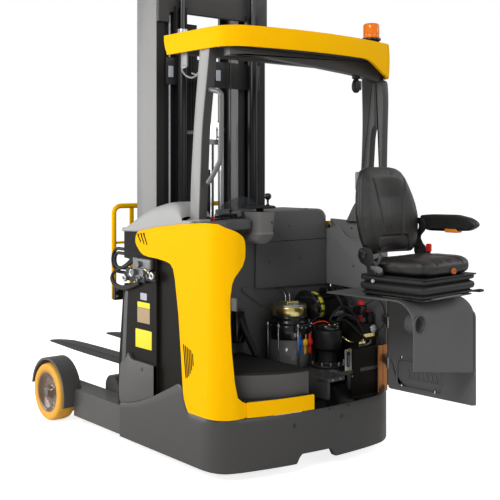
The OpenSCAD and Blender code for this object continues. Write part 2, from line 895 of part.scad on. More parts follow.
module fork(s) {
  x0 = s * 227 - fork_w / 2;
  side_plate(x0, x0 + fork_w) polygon([
    [1205, 850], [1245, 850], [1245, 370], [1270, 300 + fork_t], [1250 + fork_len * 0.75, 300 + fork_t],
    [1244 + fork_len, 312], [1244 + fork_len, 300], [1230, 300], [1205, 330]
  ]);
  blk(x0, x0 + fork_w, shifter_y + 30.3, 1205, 744, 818);
}

module fork_left() {
  color("#18181a") fork(-1);
}

module fork_right() {
  color("#18181a") fork(1);
}

place() plinth();
place() leg_left();
place() leg_right();
place() battery();
place() front_wall();
place() side_cover_left();
place() side_cover_right();
place() yellow_panel_left();
place() yellow_panel_right();
place() top_hood();
place() battery_hood();
place() console_wall();
place() pocket_panel();
place() foot_well();
place() step_trim();
place() dash();
place() steering_column();
place() visor();
place() steering_wheel();
place() roof_fascia();
place() roof_frame();
place() roof_slats();
place() post_left();
place() post_right();
place() grab_handle();
place() beacon();
place() roof_lamp();
place() motor_frame();
place() oil_tank();
place() pump_motor();
place() drive_motor();
place() controller_box();
place() valve_block();
place() valve_hoses();
place() reach_cylinder();
place() load_wheel_left();
place() load_wheel_right();
place() drive_yoke();
place() drive_wheel();
place() castor_fork();
place() castor_wheel();
place() door_panel();
place() seat_box();
place() seat_suspension();
place() seat_cushion();
place() seat_backrest();
place() armrest();
place() reach_carriage();
place() outer_mast();
place() lift_barrels();
place() middle_mast();
place() lift_rods();
place() inner_mast();
place() free_lift_barrel();
place() lift_head();
place() fork_carriage();
place() side_shifter();
place() load_backrest();
place() fork_left();
place() fork_right();
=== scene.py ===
import bpy
import bmesh
import math
import numpy as np
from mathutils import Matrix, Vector


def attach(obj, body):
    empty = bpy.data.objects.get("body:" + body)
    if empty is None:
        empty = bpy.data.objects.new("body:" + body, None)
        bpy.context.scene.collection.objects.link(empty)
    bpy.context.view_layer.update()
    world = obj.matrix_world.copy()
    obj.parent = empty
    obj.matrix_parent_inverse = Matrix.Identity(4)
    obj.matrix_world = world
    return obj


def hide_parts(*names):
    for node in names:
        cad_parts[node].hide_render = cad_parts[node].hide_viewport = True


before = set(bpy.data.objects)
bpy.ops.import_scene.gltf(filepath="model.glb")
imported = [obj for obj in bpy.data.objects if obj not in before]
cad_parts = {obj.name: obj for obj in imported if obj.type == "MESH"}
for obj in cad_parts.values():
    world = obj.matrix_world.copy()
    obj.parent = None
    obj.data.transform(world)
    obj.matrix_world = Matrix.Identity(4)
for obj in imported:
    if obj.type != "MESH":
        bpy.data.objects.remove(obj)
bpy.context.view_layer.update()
midY = 831.0
hinge = np.array([485.0, -100.0, 0.0])
openAngle = math.radians(94)
print("frame loaded")


# ---------------------------------------------------------------- materials
class Sock:
    # a shader socket that takes plain maths, so a pattern reads like its formula
    def __init__(self, tree, out):
        self.tree, self.out = tree, out

    def math(self, op, *others):
        node = self.tree.nodes.new("ShaderNodeMath")
        node.operation = op
        for i, v in enumerate((self,) + others):
            feed(self.tree, v, node.inputs[i])
        return Sock(self.tree, node.outputs[0])

    def __add__(self, o): return self.math("ADD", o)
    def __radd__(self, o): return self.math("ADD", o)
    def __sub__(self, o): return self.math("SUBTRACT", o)
    def __rsub__(self, o): return Sock.wrap(self.tree, o).math("SUBTRACT", self)
    def __mul__(self, o): return self.math("MULTIPLY", o)
    def __rmul__(self, o): return self.math("MULTIPLY", o)
    def __truediv__(self, o): return self.math("DIVIDE", o)
    def __pow__(self, o): return self.math("POWER", o)

    @staticmethod
    def wrap(tree, value):
        node = tree.nodes.new("ShaderNodeValue")
        node.outputs[0].default_value = value
        return Sock(tree, node.outputs[0])

    def clip(self):
        s = self.math("ADD", 0.0)
        s.out.node.use_clamp = True
        return s


def feed(tree, value, socket):
    # joins a socket to another, or sets a plain value on it
    if isinstance(value, Sock):
        tree.links.new(value.out, socket)
    elif isinstance(value, (tuple, list)) and len(value) == 3 and socket.type == "RGBA":
        socket.default_value = (*value, 1.0)
    else:
        socket.default_value = value


class Shade:
    # one node material: make() adds any node, mix() blends two colours
    def __init__(self, name):
        self.mat = bpy.data.materials.new(name)
        self.mat.use_nodes = True
        self.tree = self.mat.node_tree
        self.bsdf = self.tree.nodes["Principled BSDF"]

    def make(self, kind, settings=None, sockets=None, out=0):
        node = self.tree.nodes.new("ShaderNode" + kind)
        for k, v in (settings or {}).items():
            setattr(node, k, v)
        for k, v in (sockets or {}).items():
            feed(self.tree, v, node.inputs[k])
        return Sock(self.tree, node.outputs[out])

    def place(self, scale=(1, 1, 1)):
        here = self.make("TexCoord", out=3)
        return self.make("Mapping", {}, {"Vector": here, "Scale": scale})

    def noise(self, size, detail=3.0, rough=0.55, scale=(1, 1, 1), out=0):
        return self.make("TexNoise", {}, {"Vector": self.place(scale), "Scale": size, "Detail": detail, "Roughness": rough}, out)

    def mix(self, fac, a, b):
        node = self.tree.nodes.new("ShaderNodeMix")
        node.data_type = "RGBA"
        feed(self.tree, fac, node.inputs[0])
        feed(self.tree, a, node.inputs[6])
        feed(self.tree, b, node.inputs[7])
        return Sock(self.tree, node.outputs[2])

    def put(self, **sockets):
        for k, v in sockets.items():
            feed(self.tree, v, self.bsdf.inputs[k.replace("_", " ")])
        return self

    def bump(self, height, far=0.0005, strength=1.0):
        n = self.make("Bump", {}, {"Height": height, "Distance": far, "Strength": strength})
        feed(self.tree, n, self.bsdf.inputs["Normal"])
        return self


def tint(c, f):
    return tuple(min(1.0, v * f) for v in c)


def painted(name, colour, rough=0.35, coat=0.25, metal=0.0, peel=0.00012, wear=0.06, spec=0.32):
    # paint: colour drifts a little over half a metre, and a fine orange peel breaks the shine
    s = Shade(name)
    drift = s.noise(1.6, 4.0)
    fine = s.noise(45.0, 3.0)
    s.put(Base_Color=s.mix(drift, tint(colour, 1 - wear), tint(colour, 1 + wear)))
    s.put(Roughness=rough + (fine - 0.5) * 0.10 + (drift - 0.5) * 0.08, Metallic=metal, Coat_Weight=coat)
    s.bsdf.inputs["Coat Roughness"].default_value = 0.12
    s.bsdf.inputs["Specular IOR Level"].default_value = spec
    s.bump(s.noise(420.0, 2.0), peel * 4, 0.35)
    return s.mat


def moulded(name, colour, rough=0.55, grain=900.0, depth=0.00025, strength=0.5, spec=0.28):
    # moulded plastic: spark grain from a fine noise, rougher where the grain is high
    s = Shade(name)
    g = s.noise(grain, 2.0)
    drift = s.noise(2.3, 3.0)
    s.put(Base_Color=s.mix(drift, tint(colour, 0.88), tint(colour, 1.12)))
    s.put(Roughness=rough + (g - 0.5) * 0.18 + (drift - 0.5) * 0.06)
    s.bsdf.inputs["Specular IOR Level"].default_value = spec
    s.bump(g, depth, strength)
    return s.mat


def brushed(name, colour, rough=0.28, along=(1, 1, 40), metal=1.0):
    # machined metal: noise drawn out along one axis makes the brush lines
    s = Shade(name)
    lines = s.noise(30.0, 3.0, scale=along)
    s.put(Base_Color=s.mix(lines, tint(colour, 0.85), tint(colour, 1.1)))
    s.put(Roughness=rough + (lines - 0.5) * 0.22, Metallic=metal)
    s.bump(lines, 0.00008, 0.5)
    return s.mat


def leathery(name, colour, rough=0.42):
    # vinyl: cell pattern for the grain with soft creases over it
    s = Shade(name)
    cells = s.make("TexVoronoi", {"feature": "DISTANCE_TO_EDGE"}, {"Vector": s.place(), "Scale": 520.0})
    crease = s.noise(26.0, 4.0)
    s.put(Base_Color=s.mix(crease, tint(colour, 0.8), tint(colour, 1.25)))
    s.put(Roughness=rough + (crease - 0.5) * 0.2)
    s.bump((cells * 6.0).clip() * 0.6 + crease * 0.9, 0.0005, 0.45)
    return s.mat


def tyreLike(name, colour, rough=0.6):
    # tread compound: mottled colour with scuffed, dustier patches
    s = Shade(name)
    spots = s.noise(14.0, 5.0, 0.65)
    s.put(Base_Color=s.mix((spots - 0.35) * 1.6, tint(colour, 0.86), tint(colour, 1.1)))
    s.put(Roughness=rough + (spots - 0.5) * 0.25)
    s.bump(s.noise(160.0, 4.0), 0.0004, 0.5)
    return s.mat


def clear(name, colour, alpha, rough=0.08):
    s = Shade(name)
    haze = s.noise(9.0, 3.0)
    s.put(Base_Color=colour, Alpha=alpha + (haze - 0.5) * 0.05, Roughness=rough + (haze - 0.5) * 0.05)
    return s.mat


yellow = painted("truckYellow", (1.0, 0.51, 0.0004), 0.55, 0.0, wear=0.03, spec=0.03)
darkPaint = painted("chassisGrey", (0.052, 0.0505, 0.0495), 0.42, 0.12)
legPaint = painted("legGrey", (0.075, 0.073, 0.071), 0.42, 0.12)
mastPaint = painted("mastGrey", (0.016, 0.0155, 0.0145), 0.40, 0.08, spec=0.24)
innerPaint = painted("mastInnerGrey", (0.022, 0.0215, 0.021), 0.42, 0.15)
palePaint = painted("postGrey", (0.25, 0.248, 0.243), 0.38, 0.15)
columnPlastic = moulded("columnGrey", (0.19, 0.188, 0.185), 0.48)
grabPaint = painted("grabGrey", (0.15, 0.148, 0.145), 0.3, 0.2)
hoodPlastic = moulded("hoodGrey", (0.37, 0.368, 0.363), 0.48)
coverPlastic = moulded("coverBlack", (0.013, 0.0115, 0.0095), 0.5, spec=0.08)
cabPlastic = moulded("consoleGrey", (0.10, 0.10, 0.101), 0.52)
doorPlastic = moulded("doorGrey", (0.135, 0.135, 0.136), 0.5)
pocketPlastic = moulded("pocketGrey", (0.20, 0.20, 0.202), 0.5)
matRubber = moulded("matBlack", (0.012, 0.012, 0.012), 0.75, 400.0, 0.0006, 0.6)
softBlack = moulded("softBlack", (0.012, 0.012, 0.013), 0.45, 1200.0)
slotBlack = moulded("slotBlack", (0.010, 0.005, 0.003), 0.75, spec=0.04)
glossBlack = painted("glossBlack", (0.008, 0.008, 0.009), 0.22, 0.5)
vinyl = leathery("seatVinyl", (0.0125, 0.0115, 0.0105), 0.36)
bellowsMat = moulded("bellowsRubber", (0.022, 0.022, 0.022), 0.5, 300.0, 0.0004)
hoseMat = moulded("hoseRubber", (0.010, 0.010, 0.010), 0.5, 600.0)
forkMat = painted("forkBlack", (0.011, 0.0108, 0.0105), 0.42, 0.05)
steelMat = brushed("bareSteel", (0.55, 0.56, 0.57), 0.30)
castMat = brushed("castGrey", (0.16, 0.16, 0.165), 0.45, (1, 1, 1), 0.6)
rodMat = brushed("rodSteel", (0.06, 0.06, 0.062), 0.2, (1, 1, 20))
chromeMat = brushed("rodChrome", (0.8, 0.81, 0.83), 0.10, (1, 1, 20))
brassMat = brushed("brassCap", (0.85, 0.72, 0.30), 0.24)
chainMat = brushed("chainSteel", (0.09, 0.09, 0.09), 0.4, (1, 1, 6))
hubMat = painted("hubBrown", (0.13, 0.075, 0.045), 0.25, 0.6)
tyreMat = tyreLike("wheelYellow", (0.85, 0.42, 0.03))
driveTyreMat = tyreLike("driveTyre", (0.02, 0.02, 0.02))
amberMat = clear("beaconAmber", (1.0, 0.22, 0.004), 0.97, 0.12)
shieldMat = clear("clearShield", (0.10, 0.11, 0.12), 0.34)
tankMat = clear("tankShell", (0.16, 0.16, 0.165), 0.93, 0.15)
redMat = moulded("redPlastic", (0.62, 0.02, 0.012), 0.4)
blueMat = moulded("bluePlastic", (0.01, 0.13, 0.62), 0.4)
lugYellow = moulded("lugYellow", (0.95, 0.52, 0.02), 0.4)
rustMat = moulded("knobRust", (0.50, 0.13, 0.02), 0.45)
orangeMat = moulded("orangePlastic", (0.95, 0.26, 0.01), 0.4)
labelYellow = moulded("plateYellow", (0.85, 0.72, 0.02), 0.45, 200.0, 0.0001)
labelTan = moulded("plateTan", (0.42, 0.30, 0.17), 0.45, 200.0, 0.0001)
labelPale = moulded("plateWhite", (0.44, 0.46, 0.52), 0.4, 200.0, 0.0001)
print("materials made")


# ---------------------------------------------------------------- builders
def swung(p):
    # closed seat door place, turned about the hinge by the open angle
    p = np.asarray(p, float)
    c, s = math.cos(openAngle), math.sin(openAngle)
    q = p.copy()
    q[:, 0] = c * p[:, 0] - s * p[:, 1]
    q[:, 1] = s * p[:, 0] + c * p[:, 1]
    return q + hinge


def makeMesh(name, verts, faces, mat, body, smooth=True, bevel=0.0, wall=0.0, sharp=38, subd=0, swing=False):
    # millimetre points with y from the roof's rear corner become metres in the row frame
    v = np.asarray(verts, float)
    if swing:
        v = swung(v)
    v = (v - np.array([0, midY, 0])) / 1000
    me = bpy.data.meshes.new(name)
    me.from_pydata(v.tolist(), [], [list(map(int, f)) for f in faces])
    bm = bmesh.new()
    bm.from_mesh(me)
    bmesh.ops.remove_doubles(bm, verts=bm.verts, dist=1e-5)
    bmesh.ops.recalc_face_normals(bm, faces=bm.faces)
    bm.to_mesh(me)
    bm.free()
    ob = bpy.data.objects.new(name, me)
    bpy.context.scene.collection.objects.link(ob)
    me.materials.append(mat)
    if wall:
        m = ob.modifiers.new("wall", "SOLIDIFY")
        m.thickness = wall / 1000
        m.offset = -1
    if bevel:
        m = ob.modifiers.new("edge", "BEVEL")
        m.width = bevel / 1000
        m.segments = 3
        m.limit_method = "ANGLE"
        m.angle_limit = math.radians(sharp)
        m.harden_normals = False
    if subd:
        m = ob.modifiers.new("soft", "SUBSURF")
        m.levels = m.render_levels = subd
    if smooth:
        me.polygons.foreach_set("use_smooth", [True] * len(me.polygons))
        if bevel:
            w = ob.modifiers.new("shade", "WEIGHTED_NORMAL")
            w.keep_sharp = False
    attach(ob, body)
    return ob


def gridFaces(nu, nv, closeU=False, closeV=False):
    # quads between neighbours of an nu by nv grid stored row after row
    f = []
    for i in range(nu if closeU else nu - 1):
        for j in range(nv if closeV else nv - 1):
            a, b = i * nv + j, i * nv + (j + 1) % nv
            c, d = ((i + 1) % nu) * nv + (j + 1) % nv, ((i + 1) % nu) * nv + j
            f.append((a, b, c, d))
    return f


def gridSurf(name, fn, nu, nv, mat, body, closeU=False, closeV=False, capU=False, **kw):
    # surface: point = fn(u, v) with u and v from 0 to 1 on a grid
    u = np.linspace(0, 1, nu, endpoint=not closeU)
    v = np.linspace(0, 1, nv, endpoint=not closeV)
    uu, vv = np.meshgrid(u, v, indexing="ij")
    p = np.stack(fn(uu, vv), -1).reshape(-1, 3)
    f = gridFaces(nu, nv, closeU, closeV)
    if capU:
        f.append(tuple(range(nv)))
        f.append(tuple(range((nu - 1) * nv, nu * nv)))
    return makeMesh(name, p, f, mat, body, **kw)


def rounded(pts, r, n=6):
    # each corner becomes a quadratic curve that starts and ends r from the corner
    pts = np.asarray(pts, float)
    out = []
    k = len(pts)
    rs = r if hasattr(r, "__len__") else [r] * k
    for i in range(k):
        p, a, b = pts[i], pts[i - 1], pts[(i + 1) % k]
        ra = min(rs[i], 0.48 * np.linalg.norm(a - p))
        rb = min(rs[i], 0.48 * np.linalg.norm(b - p))
        if rs[i] <= 0.01:
            out.append(p)
            continue
        s = p + (a - p) / np.linalg.norm(a - p) * ra
        e = p + (b - p) / np.linalg.norm(b - p) * rb
        for t in np.linspace(0, 1, n):
            out.append((1 - t) ** 2 * s + 2 * t * (1 - t) * p + t ** 2 * e)
    return np.array(out)


def inset(loop, d):
    # moves every edge of a counter clockwise loop inwards by d, corners mitred
    e = np.roll(loop, -1, 0) - loop
    e /= np.maximum(np.linalg.norm(e, axis=1, keepdims=True), 1e-9)
    n = np.stack([-e[:, 1], e[:, 0]], 1)
    m = n + np.roll(n, 1, 0)
    m /= np.maximum((m * m).sum(1, keepdims=True) / 2, 0.35)
    return loop + m * d


def slab(name, loop, w0, w1, axis, mat, body, edge=3.0, steps=3, **kw):
    # a flat outline given a thickness; its rim follows inset = r(1 - sin t), height = r(1 - cos t)
    loop = np.asarray(loop, float)
    area = 0.5 * np.sum(loop[:, 0] * np.roll(loop[:, 1], -1) - np.roll(loop[:, 0], -1) * loop[:, 1])
    if area < 0:
        loop = loop[::-1]
    t = np.linspace(0, math.pi / 2, steps + 1)
    rings = [(edge * (1 - math.sin(a)), w0 + edge * (1 - math.cos(a))) for a in t]
    rings += [(edge * (1 - math.sin(a)), w1 - edge * (1 - math.cos(a))) for a in t[::-1]]
    k = len(loop)
    pts = []
    for d, w in rings:
        q = inset(loop, d)
        c = np.full((k, 1), w)
        if axis == "x":
            pts.append(np.hstack([c, q]))
        elif axis == "y":
            pts.append(np.hstack([q[:, :1], c, q[:, 1:]]))
        else:
            pts.append(np.hstack([q, c]))
    f = gridFaces(len(rings), k, closeV=True)
    f.append(tuple(range(k)))
    f.append(tuple(range((len(rings) - 1) * k, len(rings) * k)))
    return makeMesh(name, np.vstack(pts), f, mat, body, **kw)


def lathe(name, profile, centre, axis, mat, body, seg=64, **kw):
    # profile of (radius, height) turned about a line through centre along axis
    prof = np.asarray(profile, float)
    a = np.linspace(0, 2 * math.pi, seg, endpoint=False)
    r, h = prof[:, 0][None, :], prof[:, 1][None, :]
    ca, sa = np.cos(a)[:, None], np.sin(a)[:, None]
    cx, cy, cz = centre
    if axis == "x":
        p = (cx + h + 0 * ca, cy + r * ca, cz + r * sa)
    elif axis == "y":
        p = (cx + r * ca, cy + h + 0 * ca, cz + r * sa)
    else:
        p = (cx + r * ca, cy + r * sa, cz + h + 0 * ca)
    pts = np.stack(np.broadcast_arrays(*p), -1).reshape(-1, 3)
    return makeMesh(name, pts, gridFaces(seg, len(prof), closeU=True), mat, body, **kw)


def bulged(r, h0, h1, e=3.0, hollow=0.0):
    # profile of a drum with rounded rims from h0 to h1
    t = np.linspace(0, math.pi / 2, 5)
    low = [(r - e + e * math.sin(a), h0 + e - e * math.cos(a)) for a in t]
    top = [(r - e + e * math.cos(a), h1 - e + e * math.sin(a)) for a in t]
    return [(hollow, h0)] + low + top + [(hollow, h1)]


def curvePath(pts, n=14):
    # Catmull-Rom curve through the points
    p = np.asarray(pts, float)
    q = np.vstack([2 * p[0] - p[1], p, 2 * p[-1] - p[-2]])
    out = []
    for i in range(1, len(q) - 2):
        a, b, c, d = q[i - 1:i + 3]
        for t in np.linspace(0, 1, n, endpoint=False):
            out.append(0.5 * (2 * b + (c - a) * t + (2 * a - 5 * b + 4 * c - d) * t * t + (3 * b - a - 3 * c + d) * t ** 3))
    out.append(p[-1])
    return np.array(out)


def tube(name, pts, r, mat, body, seg=14, smoothPath=True, n=14, closed=False, **kw):
    # circle of radius r carried along a path; each ring's frame is turned as little as possible
    path = curvePath(pts, n) if smoothPath else np.asarray(pts, float)
    tang = np.gradient(path, axis=0)
    tang /= np.linalg.norm(tang, axis=1, keepdims=True)
    side = np.cross(tang[0], [0, 0, 1.0])
    if np.linalg.norm(side) < 1e-3:
        side = np.cross(tang[0], [1.0, 0, 0])
    rings = []
    a = np.linspace(0, 2 * math.pi, seg, endpoint=False)
    rr = r if hasattr(r, "__len__") else [r] * len(path)
    for p, t, q in zip(path, tang, np.interp(np.linspace(0, 1, len(path)), np.linspace(0, 1, len(rr)), rr)):
        side = side - t * np.dot(side, t)
        side /= np.linalg.norm(side)
        up = np.cross(t, side)
        rings.append(p + q * (np.cos(a)[:, None] * side + np.sin(a)[:, None] * up))
    f = gridFaces(len(path), seg, closeV=True)
    f.append(tuple(range(seg)))
    f.append(tuple(range((len(path) - 1) * seg, len(path) * seg)))
    return makeMesh(name, np.vstack(rings), f, mat, body, **kw)


def bricks(name, boxes, mat, body, bevel=1.5, **kw):
    # many plain boxes (x0, x1, y0, y1, z0, z1) in one mesh
    v, f = [], []
    for x0, x1, y0, y1, z0, z1 in boxes:
        k = len(v)
        v += [(x, y, z) for x in (x0, x1) for y in (y0, y1) for z in (z0, z1)]
        f += [tuple(k + i for i in q) for q in ((0, 1, 3, 2), (4, 6, 7, 5), (0, 4, 5, 1), (2, 3, 7, 6), (0, 2, 6, 4), (1, 5, 7, 3))]
    return makeMesh(name, v, f, mat, body, bevel=bevel, **kw)


def table(z, rows):
    # straight line interpolation in a table of (height, value) rows
    rows = sorted(rows)
    return np.interp(z, [r[0] for r in rows], [r[1] for r in rows])


def bolts(name, places, axis, r, h, mat, body):
    # hexagon heads: six sided drums at each place
    v, f = [], []
    for p in places:
        k = len(v)
        for w in (0.0, h):
            for i in range(6):
                a, b = r * math.cos(math.pi / 3 * i), r * math.sin(math.pi / 3 * i)
                q = {"x": (w, a, b), "y": (a, w, b), "z": (a, b, w)}[axis]
                v.append([p[0] + q[0], p[1] + q[1], p[2] + q[2]])
        f += [(k + i, k + (i + 1) % 6, k + 6 + (i + 1) % 6, k + 6 + i) for i in range(6)]
        f += [tuple(range(k, k + 6)), tuple(range(k + 6, k + 12))]
    return makeMesh(name, v, f, mat, body, bevel=0.8, smooth=False)


def shell(name, fn, nu, nv, wall, inside, mat, body, edge=2.5, swing=False, closeU=False, **kw):
    # a thick skin: outer points fn(u, v), inner points moved by wall along the surface normal
    # n = dP/du x dP/dv, taken towards the point called inside
    u = np.linspace(0, 1, nu, endpoint=not closeU)
    uu, vv = np.meshgrid(u, np.linspace(0, 1, nv), indexing="ij")
    p = np.stack(np.broadcast_arrays(*fn(uu, vv)), -1).astype(float)
    du = (np.roll(p, -1, 0) - np.roll(p, 1, 0)) if closeU else np.gradient(p, axis=0)
    n = np.cross(du, np.gradient(p, axis=1))
    n /= np.maximum(np.linalg.norm(n, axis=2, keepdims=True), 1e-9)
    if np.sum((np.array(inside) - p) * n) < 0:
        n = -n
    q = p + n * wall
    k = nu * nv
    f = gridFaces(nu, nv, closeU=closeU)
    f += [tuple(i + k for i in reversed(g)) for g in gridFaces(nu, nv, closeU=closeU)]
    last = nu if closeU else nu - 1
    for i in range(last):
        a, b = i * nv, ((i + 1) % nu) * nv
        f.append((b, a, a + k, b + k))
        f.append((a + nv - 1, b + nv - 1, b + nv - 1 + k, a + nv - 1 + k))
    if not closeU:
        e = (nu - 1) * nv
        for j in range(nv - 1):
            f.append((j, j + 1, j + 1 + k, j + k))
            f.append((e + j + 1, e + j, e + j + k, e + j + 1 + k))
    return makeMesh(name, np.vstack([p.reshape(-1, 3), q.reshape(-1, 3)]), f, mat, body, bevel=edge, sharp=55, swing=swing, **kw)


def openRound(pts, r, n=7):
    # like rounded() but the two ends stay where they are
    pts = np.asarray(pts, float)
    mid = rounded(pts, [0] + [r] * (len(pts) - 2) + [0] if not hasattr(r, "__len__") else r, n)
    return mid


def along(path, count):
    # points spread evenly by arc length
    path = np.asarray(path, float)
    s = np.concatenate([[0], np.cumsum(np.linalg.norm(np.diff(path, axis=0), axis=1))])
    t = np.linspace(0, s[-1], count)
    return np.stack([np.interp(t, s, path[:, i]) for i in range(path.shape[1])], 1)


def boxy(name, lo, hi, r, mat, body, seg=3, swing=False, **kw):
    # box with every edge rounded: the corner blocks of a cube map to p = core + r d / |d|
    lo, hi = np.array(lo, float), np.array(hi, float)
    r = min(r, *(0.499 * (hi - lo)))
    half = np.tan(np.linspace(0, math.pi / 4, seg + 1))
    t = np.concatenate([-half[::-1], half])
    flag = np.concatenate([-np.ones(seg + 1), np.ones(seg + 1)])
    k = len(t)
    pts, faces = [], []
    a, b = np.meshgrid(t, t, indexing="ij")
    fa, fb = np.meshgrid(flag, flag, indexing="ij")
    for axis in range(3):
        for s in (-1, 1):
            c, g = np.zeros((k, k, 3)), np.zeros((k, k, 3))
            c[..., axis] = g[..., axis] = s
            c[..., (axis + 1) % 3], c[..., (axis + 2) % 3] = a, b
            g[..., (axis + 1) % 3], g[..., (axis + 2) % 3] = fa, fb
            d = c / np.linalg.norm(c, axis=2, keepdims=True)
            base = len(pts) * k * k
            pts.append((np.where(g > 0, hi - r, lo + r) + d * r).reshape(-1, 3))
            faces += [tuple(base + i for i in q) for q in gridFaces(k, k)]
    return makeMesh(name, np.vstack(pts), faces, mat, body, swing=swing, **kw)


# ---------------------------------------------------------------- plain CAD pieces
finish = {
    "plinth": darkPaint, "leg_left": legPaint, "leg_right": legPaint, "battery": coverPlastic, "front_wall": coverPlastic,
    "side_cover_left": coverPlastic, "side_cover_right": coverPlastic, "yellow_panel_left": yellow,
    "yellow_panel_right": yellow, "top_hood": hoodPlastic, "battery_hood": cabPlastic, "console_wall": cabPlastic,
    "pocket_panel": doorPlastic, "foot_well": cabPlastic, "step_trim": yellow, "dash": coverPlastic,
    "steering_column": hoodPlastic, "visor": shieldMat, "steering_wheel": softBlack, "roof_fascia": yellow,
    "roof_frame": darkPaint, "roof_slats": mastPaint, "post_left": palePaint, "post_right": legPaint,
    "grab_handle": palePaint, "beacon": amberMat, "roof_lamp": softBlack, "motor_frame": darkPaint,
    "oil_tank": tankMat, "pump_motor": glossBlack, "drive_motor": glossBlack, "controller_box": coverPlastic,
    "valve_block": castMat, "valve_hoses": hoseMat, "reach_cylinder": glossBlack, "load_wheel_left": tyreMat,
    "load_wheel_right": tyreMat, "drive_yoke": castMat, "drive_wheel": driveTyreMat, "castor_fork": steelMat,
    "castor_wheel": driveTyreMat, "door_panel": doorPlastic, "seat_box": doorPlastic, "seat_suspension": bellowsMat,
    "seat_cushion": vinyl, "seat_backrest": vinyl, "armrest": softBlack, "reach_carriage": darkPaint,
    "outer_mast": mastPaint, "lift_barrels": glossBlack, "middle_mast": innerPaint, "lift_rods": rodMat,
    "inner_mast": innerPaint, "free_lift_barrel": glossBlack, "lift_head": steelMat, "fork_carriage": forkMat,
    "side_shifter": forkMat, "load_backrest": yellow, "fork_left": forkMat, "fork_right": forkMat,
}
softEdge = {
    "plinth": 5, "leg_left": 4, "leg_right": 4, "outer_mast": 3, "middle_mast": 2.5, "inner_mast": 2.5,
    "battery_hood": 8, "console_wall": 3, "pocket_panel": 4, "roof_slats": 1.5, "roof_lamp": 6,
}
for node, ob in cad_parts.items():
    ob.data.materials.clear()
    ob.data.materials.append(finish.get(node, darkPaint))
    weld = ob.modifiers.new("weld", "WELD")
    weld.merge_threshold = 0.00001
    m = ob.modifiers.new("edge", "BEVEL")
    m.width = softEdge.get(node, 2) / 1000
    m.segments = 3
    m.limit_method = "ANGLE"
    m.angle_limit = math.radians(40)
    if node.startswith("side_cover"):
        ob.data.polygons.foreach_set("use_smooth", [False] * len(ob.data.polygons))
        continue
    ob.data.polygons.foreach_set("use_smooth", [True] * len(ob.data.polygons))
    w = ob.modifiers.new("shade", "WEIGHTED_NORMAL")
print("CAD pieces finished")

# ---------------------------------------------------------------- yellow panels
panel = {"z0": 305, "z1": 1240, "corner": 115, "wall": 24,
         "front": [(1174, 684), (1150, 668), (1118, 640), (1098, 612), (1082, 560), (1066, 470), (1052, 400), (1038, 362), (1012, 338), (960, 322), (781, 291), (560, 268), (420, 255), (370, 246), (330, 228), (305, 208)],
         "rear": [(305, -470), (375, -474), (384, -499), (410, -531), (486, -547), (640, -562), (775, -568), (900, -568), (960, -560), (990, -548), (1020, -525), (1047, -501), (1085, -486), (1130, -483), (1165, -487), (1187, -496), (1205, -520), (1215, -545), (1226, -588), (1240, -620)],
         "top": [(0, 1170), (16, 1174), (200, 1205), (400, 1228), (615, 1240), (700, 1238), (760, 1232), (820, 1225)]}


def panelPoint(s, z, out=0.0):
    # plan path of the panel: straight side, quarter circle at the rear corner, straight rear
    c, side = panel["corner"], 635.0
    arc = c * math.pi / 2
    phi = math.pi + np.clip((s - side) / c, 0, math.pi / 2)
    x = np.where(s < side, -635.0 - out, np.where(s < side + arc, -520 + (c + out) * np.cos(phi), -520 + (s - side - arc)))
    y = np.where(s < side, 700 - s, np.where(s < side + arc, 65 + (c + out) * np.sin(phi), -50 - out))
    return x, y, z


def rearToPath(x):
    # distance along the plan path at which the panel's rear edge stands
    c = panel["corner"]
    ang = math.pi / 2 - np.arcsin(np.clip(-(x + 520) / c, 0, 1))
    return 635 + c * ang + np.maximum(x + 520, 0)


def leftPanel(u, v):
    # z runs from the foot to the top line; s runs from the front edge to the rear edge
    # near the top the skin leans in by 16 t^2, t over the last 5% of the height
    zn = panel["z0"] + v * (panel["z1"] - panel["z0"])
    s0 = 700 - table(zn, panel["front"])
    s1 = rearToPath(table(zn, panel["rear"]))
    s = s0 + u * (s1 - s0)
    top = np.interp(s, *zip(*panel["top"]))
    z = panel["z0"] + v * (top - panel["z0"])
    x, y, z = panelPoint(s, z)
    lean = 16 * np.clip((v - 0.95) / 0.05, 0, 1) ** 2
    cx, cy = -480, np.clip(y, 60, 640)
    n = np.sqrt((x - cx) ** 2 + (y - cy) ** 2) + 1e-6
    return x + (cx - x) / n * lean, y + (cy - y) / n * lean, z


p = shell("panelLeft", leftPanel, 100, 150, 22, (-450, 200, 700), yellow, "chassis", edge=5)
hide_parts("yellow_panel_left")

rp = [(684, 1174), (650, 1125), (612, 1098), (500, 1072), (373, 1043), (342, 1020), (332, 985), (291, 781), (268, 560), (254, 403), (228, 332), (205, 306),
      (64, 306), (64, 518), (97, 600), (132, 800), (150, 1150), (176, 1188), (500, 1194)]
p = slab("panelRight", rounded(rp, [18, 30, 30, 30, 30, 20, 20, 30, 30, 30, 20, 6, 6, 14, 40, 40, 20, 20, 40]), 608, 635, "x", yellow, "chassis", edge=6)
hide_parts("yellow_panel_right")
# orange strip for the right yellow panel's inner face in shade: painted shade on a yellow part
slab("panelShadeRight", rounded([(64, 308), (64, 512), (100, 512), (100, 308)], 4), 585, 634, "x", orangeMat, "chassis", edge=3)

# slanted slots near the top front and the louvres lower down, both sides
slots = []
for a, b in (((661, 1157), (632, 1119)), ((631, 1162), (601, 1111)), ((605, 1164), (573, 1109))):
    slots.append((a, b, 9))
for i in range(6):
    y = 247 - i * 15
    top = 632 - 5 * i - (10 if i == 5 else 0)
    low = 474 + 3 * i + 2.2 * i * i
    slots.append(((y, top), (y - 20 + 3 * i, low), 8))


